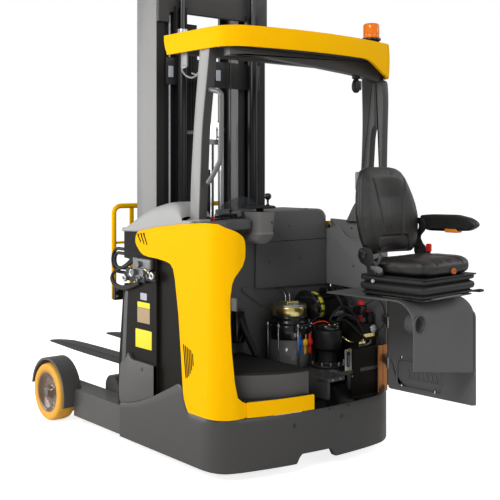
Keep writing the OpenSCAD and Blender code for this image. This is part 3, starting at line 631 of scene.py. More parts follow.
def slotMesh(name, side):
    # each slot is a thin slanted plate with rounded ends, 0.7 mm proud of the panel
    v, f = [], []
    for (y0, z0), (y1, z1), w in slots:
        d = np.array([y1 - y0, z1 - z0]) / math.hypot(y1 - y0, z1 - z0)
        nrm = np.array([-d[1], d[0]]) * w / 2
        ang = np.linspace(-math.pi / 2, math.pi / 2, 6)
        ring = [np.array([y1, z1]) + math.cos(t) * d * w / 2 + math.sin(t) * nrm for t in ang]
        ring += [np.array([y0, z0]) - math.cos(t) * d * w / 2 - math.sin(t) * nrm for t in ang]
        k, m = len(v), len(ring)
        for x in (-634.0, -635.7):
            v += [(x * side, q[0], q[1]) for q in ring]
        f += [(k + i, k + (i + 1) % m, k + m + (i + 1) % m, k + m + i) for i in range(m)]
        f += [tuple(range(k, k + m)), tuple(range(k + m, k + 2 * m))]
    return makeMesh(name, v, f, slotBlack, "chassis", smooth=False)


slotMesh("slotsLeft", 1)
slotMesh("slotsRight", -1)
print("yellow panels made")

# ---------------------------------------------------------------- plinth skirt
skirt = {"plan": [(-635, 840), (-635, 60), (-600, -22), (-520, -58), (-323, -111), (-160, -139), (8, -160), (270, -160), (430, -138), (635, 62), (635, 840)],
         "round": [0, 60, 45, 60, 120, 120, 120, 90, 120, 30, 0], "wall": 34, "foot": 50}
skirtPath = along(openRound(skirt["plan"], skirt["round"], 12), 400)
sideTop = [(130, 303), (205, 304), (229, 330), (245, 372), (262, 408), (280, 426), (298, 430), (318, 424), (340, 412), (372, 397), (420, 374), (474, 349), (526, 324), (613, 290), (690, 265), (776, 242), (840, 234)]


def skirtPoint(u, v):
    # plan path carried up from foot(s) to top(s); edges turned in at the top
    i = u * (len(skirtPath) - 1)
    x = np.interp(i, range(len(skirtPath)), skirtPath[:, 0])
    y = np.interp(i, range(len(skirtPath)), skirtPath[:, 1])
    side = np.abs(x) > 625
    top = np.where(side & (y > 130), np.interp(y, *zip(*sideTop)), 303)
    foot = skirt["foot"] + 45 * np.clip(1.18 - (np.abs(x + 100) / 115) ** 6, 0, 1) * (y < -90)
    z = foot + v * (top - foot)
    turn = 6 * np.clip((v - 0.93) / 0.07, 0, 1) ** 2
    inX, inY = -np.sign(x) * (np.abs(x) > 300), (y < 60) * 1.0
    return x + inX * turn, y + inY * turn, z


p = shell("plinthSkirt", skirtPoint, 400, 14, skirt["wall"], (0, 400, 200), darkPaint, "chassis", edge=5)
bricks("plinthFloor", [(-600, 600, 500, 740, 206, 234), (-600, 600, 755, 785, 60, 75), (-420, -240, -66, 500, 230.5, 245)], darkPaint, "chassis", bevel=4)
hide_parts("plinth")
rearLine = skirtPath[(skirtPath[:, 1] < 55) & (np.abs(skirtPath[:, 0]) < 520)]
for k, (x, z) in enumerate([(-229, 240), (64, 245), (110, 292), (-18, 292)]):
    y = np.interp(x, rearLine[:, 0], rearLine[:, 1])
    h = 11 if k < 2 else 4
    slab("rearHole%d" % k, rounded([(x - h, z - h), (x + h, z - h), (x + h, z + h), (x - h, z + h)], h * 0.4), y - 0.8, y + 3, "y", glossBlack, "chassis", edge=0.4)
print("plinth made")
# ---------------------------------------------------------------- left side: cover details
lid = {"plates": [("plateWhite", 616, 677, 808, 845, labelPale), ("plateYellow", 587, 705, 766, 796, labelYellow), ("plateTan", 588, 706, 686, 764, labelTan), ("plateBig", 570, 724, 552, 650, labelYellow)]}
for name, y0, y1, z0, z1, m in lid["plates"]:
    for s in (-1, 1):
        slab(name + ("L" if s < 0 else "R"), rounded([(y0, z0), (y1, z0), (y1, z1), (y0, z1)], 5), *sorted((s * 606.5, s * 608.4)), "x", m, "chassis", edge=0.5)
for s, tag in ((-1, "Left"), (1, "Right")):
    x = sorted((s * 606, s * 626.4))
    b = [(526, 323), (613, 290), (776, 240), (838, 232), (856, 236), (868, 300), (850, 450), (800, 476), (787, 492), (779, 512), (765, 510), (750, 490), (730, 483), (526, 480)]
    slab("sideBracket" + tag, rounded(b, [3, 3, 20, 3, 12, 20, 25, 10, 8, 8, 8, 10, 10, 8]), *x, "x", legPaint, "chassis", edge=3)
    lathe("bracketHole" + tag, [(0, 0), (9, 0), (10.5, 0.5), (10.5, 1.2), (0, 1.2)], (s * 627 - 0.6, 635, 447), "x", glossBlack, "chassis", seg=24)
    slab("frontBar" + tag, rounded([(839, 222), (868, 234), (864, 430), (838, 800), (826, 842), (806, 846), (798, 832), (808, 700), (822, 470), (826, 300)], [3, 10, 20, 20, 10, 10, 10, 20, 20, 3]), *sorted((s * 583, s * 608.5)), "x", legPaint, "chassis", edge=3)
print("side covers made")

# ---------------------------------------------------------------- valve block and hoses on the left
boxy("valveHousing", (-634, 545, 975), (-608, 705, 1030), 9, castMat, "chassis")
boxy("valveBody", (-630, 600, 902), (-608, 790, 972), 7, softBlack, "chassis")
boxy("valveBodyRear", (-628, 505, 915), (-608, 600, 970), 6, softBlack, "chassis")
ports = [(713, 949, 21), (786, 915, 19), (522, 948, 20)]
for k, (y, z, r) in enumerate(ports):
    ring = [(r * 0.45, 0), (r * 0.45, -7), (r * 0.62, -9), (r * 0.9, -9), (r, -6), (r, 6)]
    lathe("portRing%d" % k, [(a, b) for a, b in ring], (-636, y, z), "x", steelMat, "chassis", seg=32)
    lathe("portCore%d" % k, [(0, 0), (r * 0.5, 0), (r * 0.5, 5), (0, 5)], (-640, y, z), "x", glossBlack, "chassis", seg=20)
for k, (y, z) in enumerate([(640, 930), (665, 915), (600, 936), (575, 946), (745, 935)]):
    lathe("fitting%d" % k, bulged(8 + 2 * (k % 2), -12, 0, 2), (-629, y, z), "x", castMat, "chassis", seg=16)
for k, (bend, drop) in enumerate([(0, 0), (24, 10)]):
    pts = [(-600, 735 + bend, 1050), (-602, 745 + bend, 1020), (-612, 785 + bend, 985), (-622, 860 + bend, 958 - drop), (-626, 915 + bend * 0.4, 935 - drop), (-626, 930 + bend * 0.3, 905 - drop),
           (-624, 900 + bend * 0.3, 872 - drop), (-622, 840, 862 - drop), (-621, 770, 872 - drop), (-620, 700, 893 - drop), (-618, 670, 905 - drop)]
    tube("valveHose%d" % k, pts, 8.5, hoseMat, "chassis", seg=12, n=10)
tube("gasStrut", [(-622, 700, 1012), (-630, 560, 958)], 4, brassMat, "chassis", seg=10, n=4)
print("valves made")

# ---------------------------------------------------------------- hood on the left
hood = {"top": [(274, 1262), (282, 1284), (300, 1306), (340, 1326), (380, 1334), (440, 1330), (504, 1318), (580, 1301), (644, 1279), (700, 1253), (751, 1224), (800, 1197), (838, 1180)],
        "base": [(272, 1232), (300, 1228), (500, 1205), (684, 1174), (840, 1170)], "x0": -624, "x1": -430}


def hoodPoint(u, v):
    # sections across the hood: x = centre - half |cos a|^0.45, z = base + rise sin(a)^0.6
    y = 274 + u * (838 - 274)
    base = np.interp(y, *zip(*hood["base"]))
    top = np.interp(y, *zip(*hood["top"]))
    a = v * math.pi
    cx, hw = (hood["x0"] + hood["x1"]) / 2, (hood["x1"] - hood["x0"]) / 2
    x = cx - hw * np.sign(np.cos(a)) * np.abs(np.cos(a)) ** 0.45
    z = base + (top - base) * np.maximum(np.sin(a), 0) ** 0.6
    return x, y + 22 * np.maximum(np.sin(a), 0) * (1 - u) ** 6, z


p = shell("hoodLeft", hoodPoint, 70, 48, 6, (-527, 500, 1180), hoodPlastic, "chassis", edge=2)
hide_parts("top_hood")


def hoodShadeFunnel(u, v):
    # black funnel closing the hood's hollow at its rear end, painted shade for the dark inside: its section shrinks to
    # a point as it goes in
    x, y, z = hoodPoint(0 * u + 0.07, v)
    k = 0.93 * (1 - u) + 0.01
    return -527 + (x + 527) * k, y + 40 * u, 1229 + (z - 1229) * k


# black funnel: painted shade inside the hood's hollow
gridSurf("hoodHollowShade", hoodShadeFunnel, 8, 40, softBlack, "chassis")
rimLine = [(y, np.interp(y, [60, 300, 500, 684, 838], [1240, 1229, 1206, 1175, 1170])) for y in np.linspace(205, 838, 40)]
tube("hoodRim", [(-613, y, z + 4) for y, z in rimLine], 11, hoodPlastic, "chassis", seg=14, smoothPath=False)
boxy("postFoot", (-586, 176, 1228), (-518, 288, 1252), 7, palePaint, "chassis")
print("hood made")

# ---------------------------------------------------------------- roof
roof = {"top": 2190, "low": 2087, "wall": 20,
        "plan": [(-600, 480), (-600, 300), (-600, 90), (-585, 5), (-520, -62), (-400, -91), (-200, -121), (0, -130), (200, -121), (400, -91), (540, -62), (600, 0), (600, 90), (600, 300), (600, 480)]}
roofPath = along(openRound(roof["plan"], [0, 60, 70, 30, 60, 60, 60, 60, 60, 60, 40, 40, 60, 60, 0], 10), 400)


def roofPoint(u, v):
    # band along the roof plan; towards the right rear corner its foot drops in an S of 84
    i = u * (len(roofPath) - 1)
    x = np.interp(i, range(len(roofPath)), roofPath[:, 0])
    y = np.interp(i, range(len(roofPath)), roofPath[:, 1])
    t = np.clip((x - 300) / 265, 0, 1)
    drop = 84 * t ** 2 * (3 - 2 * t) * (y < 45)
    q = np.clip((y - 45) / 75, 0, 1)
    drop = np.where((x > 590) & (y >= 45), 84 * (1 - q * q * (3 - 2 * q)), drop)
    z = roof["low"] - drop + v * (roof["top"] - roof["low"] + drop)
    slant = (1 - v) * 30 * np.clip((y - 400) / 80, 0, 1)
    inn = 5 - 5 * np.sin(math.pi * v)
    n = np.sqrt(x ** 2 + (y - 300) ** 2)
    return x - x / n * inn, y - slant - (y - 300) / n * inn, z


p = shell("roofBand", roofPoint, 400, 12, roof["wall"], (0, 300, 2140), yellow, "chassis", edge=5)
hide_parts("roof_fascia")
p = bricks("roofSlats", [(-552, 552, 8 + i * 60, 34 + i * 60, 2146, 2156) for i in range(7)], legPaint, "chassis", bevel=2)
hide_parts("roof_slats")
slab("crossBow", rounded([(-530, 2050), (-400, 2064), (0, 2040), (350, 2014), (450, 2002), (532, 1984), (540, 2095), (-530, 2095)], [4, 80, 120, 80, 40, 10, 4, 4]), 8, 64, "y", darkPaint, "chassis", edge=4)

beacon = [(0, 112), (30, 112), (38, 110), (42, 105), (44, 98), (44, 60), (45.5, 58), (44, 56), (44, 36), (47, 34), (47, 30), (0, 30)]
p = lathe("beaconDome", beacon, (460, 5, 2190), "z", amberMat, "chassis", seg=48)
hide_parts("beacon")
lathe("beaconBase", [(0, 31), (50, 31), (53, 28), (53, 20), (48, 16), (44, 14), (44, -30), (0, -30)], (460, 5, 2190), "z", glossBlack, "chassis", seg=48)
lathe("beaconCore", [(0, 100), (14, 98), (16, 60), (16, 34), (0, 34)], (460, 5, 2190), "z", orangeMat, "chassis", seg=24)


def lampPoint(u, v):
    # work light: a rounded lozenge, radius 26 wide and 20 deep, fuller towards its foot
    a = v * 2 * math.pi
    w = np.sin(math.pi * np.clip(u, 0.02, 0.98)) ** 0.35 * (0.8 + 0.25 * u)
    return 381 + 25 * w * np.sign(np.cos(a)) * np.abs(np.cos(a)) ** 0.7, 45 + 21 * w * np.sign(np.sin(a)) * np.abs(np.sin(a)) ** 0.7, 1999 - 79 * u


p = gridSurf("workLamp", lampPoint, 24, 28, softBlack, "chassis", closeV=True, capU=True)
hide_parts("roof_lamp")
boxy("lampMount", (362, 30, 1994), (400, 60, 2022), 6, softBlack, "chassis")
slab("lampFace", rounded([(362, 1932), (400, 1932), (402, 1985), (360, 1985)], 12), 21, 25, "y", glossBlack, "chassis", edge=1.5)
slab("hoseBracket", rounded([(316, 2098), (316, 2024), (322, 2014), (358, 2010), (364, 2018), (370, 2098)], [2, 6, 8, 8, 6, 2]), -564, -556, "x", palePaint, "chassis", edge=1.5)
bolts("bracketBolts", [(-565.5, 332, 2026), (-565.5, 350, 2026)], "x", 4, 2, glossBlack, "chassis")
tube("guardCable", [(-560, 362, 2075), (-560, 364, 2010), (-560, 345, 1985), (-558, 318, 1968), (-556, 280, 1960), (-553, 240, 1972), (-550, 205, 1990)], 5, palePaint, "chassis", seg=10)
tube("guardCableTwo", [(-545, 300, 1984), (-540, 270, 1976), (-545, 240, 1984), (-548, 215, 1996)], 5, palePaint, "chassis", seg=10)

posts = [(270, 1238), (200, 1238), (190, 1400), (172, 1700), (116, 2075), (112, 2100), (190, 2100), (190, 2075), (235, 1750), (262, 1450)]
p = slab("postLeft", rounded(posts, [4, 4, 60, 90, 20, 2, 2, 20, 120, 60]), -575, -525, "x", darkPaint, "chassis", edge=4)
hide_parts("post_left")
# pale skin on the left post's outer face over the dark post: painted light, the side the key light falls on
slab("postLitFaceLeft", rounded([(a + (1.2 if a > 150 else -1.2), b) for a, b in posts], [4, 4, 60, 90, 20, 2, 2, 20, 120, 60]), -578.5, -573, "x", palePaint, "chassis", edge=1.5)
tube("grabRail", [(-551, 150, 1893), (-551, 108, 1884), (-551, 78, 1878), (-551, 62, 1868), (-551, 53, 1845), (-551, 54, 1700), (-551, 60, 1560), (-551, 66, 1535), (-551, 84, 1512), (-551, 120, 1470), (-551, 158, 1432)], 12.5, grabPaint, "chassis", seg=18)
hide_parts("grab_handle")
leftSide = rounded([(-2, 1200), (18, 1200), (18, 1690), (30, 1728), (45, 1745), (45, 2098), (22, 2098), (22, 2002), (-12, 1990), (-20, 1900), (-10, 1600)], [1, 1, 60, 12, 12, 1, 1, 6, 20, 60, 120])
rightSide = rounded([(125, 1200), (180, 1200), (150, 1500), (140, 1750), (145, 1950), (150, 2098), (45, 2098), (45, 1745), (62, 1735), (76, 1690), (90, 1500)], [1, 1, 120, 90, 60, 1, 1, 8, 12, 40, 90])
p = slab("postRightRear", leftSide, 533, 577, "x", darkPaint, "chassis", edge=4)
q = slab("postRightFront", rightSide, 533, 577, "x", darkPaint, "chassis", edge=4)
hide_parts("post_right")
print("roof and posts made")
# ---------------------------------------------------------------- wheels
load = {"x": 647.5, "y": 1550, "z": 170, "r": 170, "w": 115}
for s, tag in ((-1, "Left"), (1, "Right")):
    c, h = (s * load["x"], load["y"], load["z"]), load["w"] / 2
    tyre = [(118, -h + 4), (150, -h + 2), (160, -h + 3), (166, -h + 9), (169, -h + 20), (170, -h + 34), (170, h - 34), (169, h - 20), (166, h - 9), (160, h - 3), (150, h - 2), (118, h - 4), (118, -h + 4)]
    p = lathe("loadTyre" + tag, tyre, c, "x", tyreMat, "load_wheel_" + tag.lower(), seg=96)
    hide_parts("load_wheel_" + tag.lower())
    o = s * h
    hub = [(0, o - s * 4), (26, o - s * 4), (30, o - s * 8), (34, o - s * 26), (44, o - s * 32), (70, o - s * 30), (98, o - s * 22), (106, o - s * 10), (112, o - s * 5), (121, o - s * 5), (121, -o + s * 8), (104, -o + s * 10), (60, -o + s * 16), (28, -o + s * 16), (28, -o + s * 2), (0, -o + s * 2)]
    lathe("loadHub" + tag, hub, c, "x", hubMat, "load_wheel_" + tag.lower(), seg=72)
    bolts("loadBolts" + tag, [(c[0] + o - s * 28 - (4 if s > 0 else 0), 1550 + 76 * math.cos(t), 170 + 76 * math.sin(t)) for t in np.linspace(0, 2 * math.pi, 6, endpoint=False)], "x", 8, 7, steelMat, "load_wheel_" + tag.lower())
    lathe("axleCap" + tag, bulged(22, min(0, s * 5), max(0, s * 5), 2), (c[0] + s * 54, 1550, 170), "x", castMat, "load_wheel_" + tag.lower(), seg=32)

    def arch(u, v):
        # mudguard: an arc of radius 200 round the wheel, its side lip 12 deep
        a = np.radians(18 + u * 146)
        w = s * 586 + s * v * 111
        r = 203 - 5 * np.clip((v - 0.9) / 0.1, 0, 1) ** 2
        return w, 1550 + r * np.cos(a), 170 + r * np.sin(a)

    shell("mudguard" + tag, arch, 80, 16, 9, (s * 640, 1550, 170), legPaint, "chassis", edge=2)

drive = [(60, -58), (150, -58), (160, -54), (168, -44), (171, -30), (171, 30), (168, 44), (160, 54), (150, 58), (60, 58), (60, -58)]
p = lathe("driveTyre", drive, (300, 180, 171.5), "x", driveTyreMat, "drive_wheel", seg=96)
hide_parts("drive_wheel")
lathe("driveHub", [(0, -44), (40, -46), (92, -40), (118, -54), (122, -50), (122, 50), (0, 50)], (300, 180, 171.5), "x", castMat, "drive_wheel", seg=64)
p = lathe("castorTyre", [(9, -24), (50, -24), (64, -22), (72, -14), (75, -5), (75, 5), (72, 14), (64, 22), (50, 24), (9, 24), (9, -24)], (-330, 185, 75), "x", driveTyreMat, "castor_wheel", seg=64)
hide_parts("castor_wheel")
print("wheels made")

# ---------------------------------------------------------------- cab: walls, pockets, floor
w = rounded([(-572, 245), (572, 245), (572, 1174), (-572, 1174)], [2, 2, 10, 2])
p = slab("consoleWall", w, 449, 464, "y", cabPlastic, "chassis", edge=2)
raised = rounded([(-8, 850), (0, 838), (530, 824), (541, 830), (541, 1100), (535, 1190), (508, 1258), (470, 1264), (0, 1264)], [10, 10, 6, 6, 30, 60, 34, 20, 4])
slab("consolePanel", raised, 436, 452, "y", cabPlastic, "chassis", edge=5)
bricks("consoleSeam", [(60, 540, 434.6, 437, 1093, 1096.5)], glossBlack, "chassis", bevel=0.5)
for k, (x, z) in enumerate([(90, 980), (330, 985), (240, 1180)]):
    lathe("consoleDot%d" % k, [(0, 0), (4, 0), (4, 2), (0, 2)], (x, 434.8, z), "y", glossBlack, "chassis", seg=12)
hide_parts("console_wall")

# raised tray along the top of the battery hood, with its long dark recess
boxy("trayLeft", (-428, 451, 1174), (560, 742, 1218), 16, cabPlastic, "chassis")
tray = rounded([(-60, 1205), (556, 1205), (556, 1230), (530, 1262), (480, 1272), (-60, 1272)], [2, 2, 14, 30, 30, 8])
p = slab("trayBack", tray, 500, 742, "y", pocketPlastic, "chassis", edge=10)
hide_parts("battery_hood")
lip = rounded([(60, 1205), (552, 1205), (556, 1225), (534, 1258), (500, 1271), (440, 1273), (402, 1272), (398, 1258), (394, 1242), (384, 1236), (90, 1234), (60, 1232)], [2, 2, 10, 20, 24, 20, 6, 10, 10, 10, 20, 4])
slab("trayFront", lip, 452, 502, "y", pocketPlastic, "chassis", edge=5)
boxy("trayWell", (70, 470, 1225), (400, 520, 1243), 6, glossBlack, "chassis")
tube("trayRim", [(100, 449, 1237), (380, 449, 1239), (396, 449, 1246), (401, 449, 1258), (402, 449, 1269), (398, 452, 1274), (384, 456, 1275)], 2.6, palePaint, "chassis", seg=8)

pk = [(450, 826), (12, 812), (12, 1165), (40, 1192), (108, 1200), (128, 1178), (140, 1120), (170, 1098), (250, 1100), (290, 1118), (322, 1150), (352, 1172), (396, 1160), (450, 1150)]
p = slab("pocketFace", rounded(pk, [3, 4, 20, 30, 14, 20, 24, 30, 30, 20, 24, 20, 20, 3]), 545, 556, "x", pocketPlastic, "chassis", edge=3)
pb = [(450, 826), (12, 812), (12, 1165), (40, 1196), (200, 1206), (330, 1206), (450, 1210)]
slab("pocketBack", rounded(pb, [3, 4, 20, 40, 60, 20, 3]), 584, 606, "x", pocketPlastic, "chassis", edge=5)
slab("pocketEnd", rounded([(545, 812), (600, 812), (600, 1180), (545, 1160)], [3, 3, 10, 10]), 10, 24, "y", pocketPlastic, "chassis", edge=3)
boxy("pocketFloor", (552, 20, 1050), (590, 440, 1062), 3, cabPlastic, "chassis")
tube("pocketRim", [(544.5, 400, 1161), (544.5, 356, 1172), (544.5, 322, 1151), (544.5, 290, 1119), (544.5, 250, 1101), (544.5, 170, 1099), (544.5, 142, 1119), (544.5, 128, 1176), (544.5, 108, 1199)], 2.4, palePaint, "chassis", seg=8)
slab("pocketLower", rounded([(450, 310), (114, 310), (114, 482), (12, 482), (12, 840), (450, 840)], 3), 590, 606, "x", cabPlastic, "chassis", edge=2)
slab("pocketArm", rounded([(476, -93), (494, -107), (607, 14), (585, 40)], [8, 8, 4, 4]), 648, 688, "z", darkPaint, "chassis", edge=3)
lathe("hingeUpper", bulged(14, 640, 699.7, 1.5), (485, -100, 0), "z", steelMat, "chassis", seg=32)
lathe("hingeRod", bulged(8, 330, 872, 2), (485, -100, 0), "z", darkPaint, "chassis", seg=24)
for k, (y, z) in enumerate([(222, 946), (70, 1040), (270, 1160)]):
    lathe("pocketDot%d" % k, [(0, 0), (5, 0), (5, 2), (0, 2)], (543.6 if k < 2 else 582, y, z), "x", glossBlack, "chassis", seg=14)
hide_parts("pocket_panel")

riser = openRound([(-110, -96), (-180, -92), (-250, -75), (-320, -45), (-390, -5), (-450, 45), (-500, 100), (-572, 160)], 60, 5)
riser = along(riser, 60)


def floorRise(u, v):
    # riser: the floor's edge line from the plinth top up to the floor, rolled over by a 10 mm radius
    i = u * (len(riser) - 1)
    x = np.interp(i, range(len(riser)), riser[:, 0])
    y = np.interp(i, range(len(riser)), riser[:, 1])
    return x, y + 8 * np.clip((v - 0.95) / 0.05, 0, 1) ** 2, 305 + v * 195


shell("floorRiser", floorRise, 60, 30, 12, (-300, 400, 400), legPaint, "chassis", edge=2)
slab("cabFloor", [tuple(q) for q in riser] + [(-572, 450), (-110, 450)], 486, 500, "z", matRubber, "chassis", edge=3)
slab("floorSide", rounded([(-94, 305), (450, 305), (450, 500), (-94, 500)], 2), -122, -110, "x", legPaint, "chassis", edge=1.5)
slab("cabWall", rounded([(450, 500), (162, 500), (162, 1174), (450, 1174)], 3), -570, -557, "x", cabPlastic, "chassis", edge=2)
stepTop = [(-500, 40), (-500, -15), (-469, -40), (-323, -92), (-200, -114), (-118, -124), (-112, -104), (-180, -97), (-250, -80), (-320, -50), (-390, -10), (-440, 30)]
p = slab("stepPlate", rounded(stepTop, 8), 366, 380, "z", glossBlack, "chassis", edge=2)
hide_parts("foot_well")
trim = along(openRound([(-478, -58), (-323, -106), (-200, -129), (-112, -141)], 50, 8), 80)


def trimPoint(u, v):
    # yellow step edge: a band 75 high along the plinth's rear line
    i = u * (len(trim) - 1)
    x = np.interp(i, range(len(trim)), trim[:, 0])
    y = np.interp(i, range(len(trim)), trim[:, 1])
    return x, y + 5 * np.clip((v - 0.85) / 0.15, 0, 1) ** 2, 304 + v * 76


p = shell("stepTrim", trimPoint, 80, 12, 13, (-300, 100, 350), yellow, "chassis", edge=3)
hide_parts("step_trim")
slab("entryPlate", rounded([(-77, 828), (-40, 828), (-40, 888), (-77, 888)], 4), -566, -556.5, "x", cabPlastic, "chassis", edge=0.6)
print("cab made")

slab("postFootRight", rounded([(300, 1196), (236, 1300), (200, 1330), (110, 1330), (90, 1196)], [6, 30, 20, 20, 6]), 560, 604, "x", doorPlastic, "chassis", edge=6)
# ---------------------------------------------------------------- motor bay
copperMat = moulded("copperEdge", (0.42, 0.17, 0.05), 0.5)
fuseRed = moulded("fuseRed", (0.16, 0.008, 0.012), 0.4)
tank = {"x": 150, "y": 335, "r": 116}
body = [(0, 415), (112, 415), (116, 419), (116, 572), (0, 572)]
p = lathe("tankShell", body, (tank["x"], tank["y"], 0), "z", tankMat, "chassis", seg=72)
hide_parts("oil_tank")
lathe("tankUpper", [(0, 570), (117, 570), (119, 574), (119, 640), (116, 648), (108, 653), (0, 653)], (150, 335, 0), "z", glossBlack, "chassis", seg=72)
lathe("tankRim", [(0, 650), (104, 650), (108, 654), (108, 662), (102, 668), (100, 676), (104, 680), (104, 690), (98, 697), (0, 697)], (150, 335, 0), "z", glossBlack, "chassis", seg=72)
lathe("tankCap", [(0, 695), (96, 695), (98, 698), (98, 738), (95, 745), (88, 748), (0, 748)], (150, 335, 0), "z", brassMat, "chassis", seg=72)
lathe("tankLid", [(0, 746), (92, 746), (95, 749), (94, 753), (40, 756), (36, 760), (0, 760)], (150, 335, 0), "z", steelMat, "chassis", seg=72)
boxy("tankBreather", (95, 290, 752), (185, 350, 772), 6, brassMat, "chassis")
bricks("tankLabel", [(88, 128, 226, 229.5, 590, 610)], labelPale, "chassis", bevel=0.5)
rods = [(150 + 126 * math.cos(t), 335 + 126 * math.sin(t)) for t in np.radians([200, 250, 300, 345, 20, 160])]
for k, (x, y) in enumerate(rods):
    lathe("tieRod%d" % k, [(0, 415), (3.2, 415), (3.2, 655), (0, 655)], (x, y, 0), "z", steelMat, "chassis", seg=12)
    lathe("tieNut%d" % k, [(0, 640), (7, 640), (8, 642), (8, 650), (6, 654), (3, 660), (0, 661)], (x, y, 0), "z", steelMat, "chassis", seg=12)

# connector plate with three coloured plugs in front of the tank
boxy("plugPlate", (88, 216, 612), (212, 232, 652), 4, glossBlack, "chassis")
bolts("plugBolts", [(102 + 32 * i, 213, 632 + 6 * (i % 2)) for i in range(4)], "y", 6, 4, steelMat, "chassis")
for k, (x, m) in enumerate(((124, blueMat), (165, lugYellow), (203, redMat))):
    prof = [(0, 598), (7, 598), (8, 594), (8, 572), (14, 566), (17, 556), (17, 545), (13, 536), (9, 532), (10, 506), (8, 492), (5, 486), (0, 486)]
    lathe("plug%d" % k, prof[::-1], (x, 224, 0), "z", m, "chassis", seg=20)
    lathe("plugWing%d" % k, bulged(6, -16, 16, 2), (x, 224, 551), "x", m, "chassis", seg=12)
    tube("plugLead%d" % k, [(x, 224, 490), (x + 3, 226, 460), (x + 8, 234, 430), (x + 4, 240, 405)], 4.5, hoseMat, "chassis", seg=10)
    tube("plugTop%d" % k, [(x, 224, 596), (x + 2, 226, 612), (x + 6, 236, 640), (x + 14, 262, 668), (x + 26, 300, 690)], 4.5, hoseMat, "chassis", seg=10)

pump = {"y": 350, "z": 716, "r": 84}
shape = [(0, 275), (60, 275), (66, 279), (96, 283), (99, 286), (99, 300), (96, 304), (84, 306), (84, 528), (80, 536), (60, 540), (56, 546), (0, 546)]
p = lathe("pumpMotor", [(r, h) for r, h in shape], (0, 350, 716), "x", glossBlack, "chassis", seg=72)
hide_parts("pump_motor")
ringMat = Shade("bandYellow")
bars = ringMat.make("SeparateXYZ", {}, {"Vector": ringMat.place()}, out="Z")
wave = (bars * 150.0).math("SINE").math("ADD", ringMat.noise(60.0, 2.0) * 1.2 - 0.6)
ringMat.put(Base_Color=ringMat.mix((wave * 4.0 + 2.6).clip(), (0.02, 0.02, 0.015), (0.62, 0.58, 0.03)), Roughness=0.4 + ringMat.noise(20.0) * 0.1)
lathe("pumpBand", [(84.5, 330), (86.5, 331), (86.5, 358), (84.5, 359), (84.0, 345), (84.5, 330)], (0, 350, 716), "x", ringMat.mat, "chassis", seg=72)
a = np.radians(np.linspace(196, 232, 8))


def pumpPlate(u, v):
    # pale plate wrapped on the drum: x along it, angle from 196 to 232 degrees
    t = np.radians(200 + 26 * v)
    return 455 + 78 * u, 350 + 85 * np.cos(t), 716 + 85 * np.sin(t) + 0 * u


shell("pumpLabel", pumpPlate, 6, 8, 1.2, (490, 350, 716), labelPale, "chassis", edge=0.4)
bolts("pumpBolts", [(304, 350 + 91 * math.cos(t), 716 + 91 * math.sin(t)) for t in np.linspace(0.3, 2 * math.pi + 0.3, 8, endpoint=False)], "x", 7, 6, steelMat, "chassis")
boxy("pumpTerminal", (430, 315, 792), (500, 385, 818), 5, glossBlack, "chassis")
bricks("pumpLegs", [(300, 318, 292, 408, 415, 660), (492, 510, 292, 408, 415, 660), (300, 510, 292, 408, 415, 425)], darkPaint, "chassis", bevel=2)

shape = [(0, 415), (104, 415), (106, 418), (106, 428), (103, 431), (56, 432), (54, 440), (54, 500), (60, 508), (72, 512), (76, 518), (76, 606), (73, 614), (60, 619), (0, 619)]
p = lathe("driveMotor", shape, (300, 180, 0), "z", softBlack, "chassis", seg=72)
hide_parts("drive_motor")
lathe("driveMotorCap", [(0, 617), (66, 617), (69, 620), (69, 640), (64, 646), (30, 648), (0, 648)], (300, 180, 0), "z", glossBlack, "chassis", seg=64)
bolts("flangeBolts", [(300 + 92 * math.cos(t), 180 + 92 * math.sin(t), 430) for t in np.radians([205, 235, 265, 295, 325, 25, 75, 125, 160])], "z", 8, 16, steelMat, "chassis")
bolts("motorStuds", [(270, 140, 646), (300, 128, 646), (330, 140, 646)], "z", 6, 12, brassMat, "chassis")

# plates of the frame in front of the bay
p = bricks("bayDeck", [(60, 184, -62, 20, 394, 416), (184, 318, 8, 20, 394, 416), (60, 210, 20, 450, 394, 414), (390, 572, 20, 450, 394, 414), (60, 78, -60, 450, 306, 394), (552, 571, 30, 450, 306, 394)], darkPaint, "chassis", bevel=3)
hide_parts("motor_frame")
slab("bayFront", rounded([(318, 264), (584, 264), (584, 522), (560, 524), (318, 520)], [2, 2, 4, 4, 6]), 22, 32, "y", coverPlastic, "chassis", edge=2)
slab("bayGusset", rounded([(306, 306), (318, 306), (318, 512), (296, 520), (284, 500), (284, 430)], [2, 2, 6, 6, 6, 20]), 24, 30, "y", darkPaint, "chassis", edge=1.5)
bricks("bayPosts", [(572, 585, 30, 215, 306, 558), (596, 635, 20, 60, 306, 480)], darkPaint, "chassis", bevel=3)
slab("hingeLower", rounded([(476, -93), (494, -107), (599, 12), (572, 40)], [8, 8, 4, 4]), 432, 473, "z", darkPaint, "chassis", edge=3)
lathe("hingePin", bulged(14, 420.3, 479, 1.5), (485, -100, 0), "z", steelMat, "chassis", seg=32)
g = rounded([(262, 408), (312, 408), (312, 532), (262, 532)], 10)
slab("gaugeFrame", g, 12, 18, "y", steelMat, "chassis", edge=1.5)
slab("gaugeWell", rounded([(275, 436), (299, 436), (299, 520), (275, 520)], 8), 9, 13, "y", glossBlack, "chassis", edge=1)
slab("gaugeGlass", rounded([(281, 442), (293, 442), (293, 500), (281, 500)], 5), 6.5, 9.5, "y", castMat, "chassis", edge=0.8)
bolts("gaugeBolts", [(287, 7, 420), (287, 7, 526)], "y", 8, 5, brassMat, "chassis")
bolts("deckBolts", [(95, -64, 405), (150, -64, 405), (240, -64, 405)], "y", 5, 3, steelMat, "chassis")

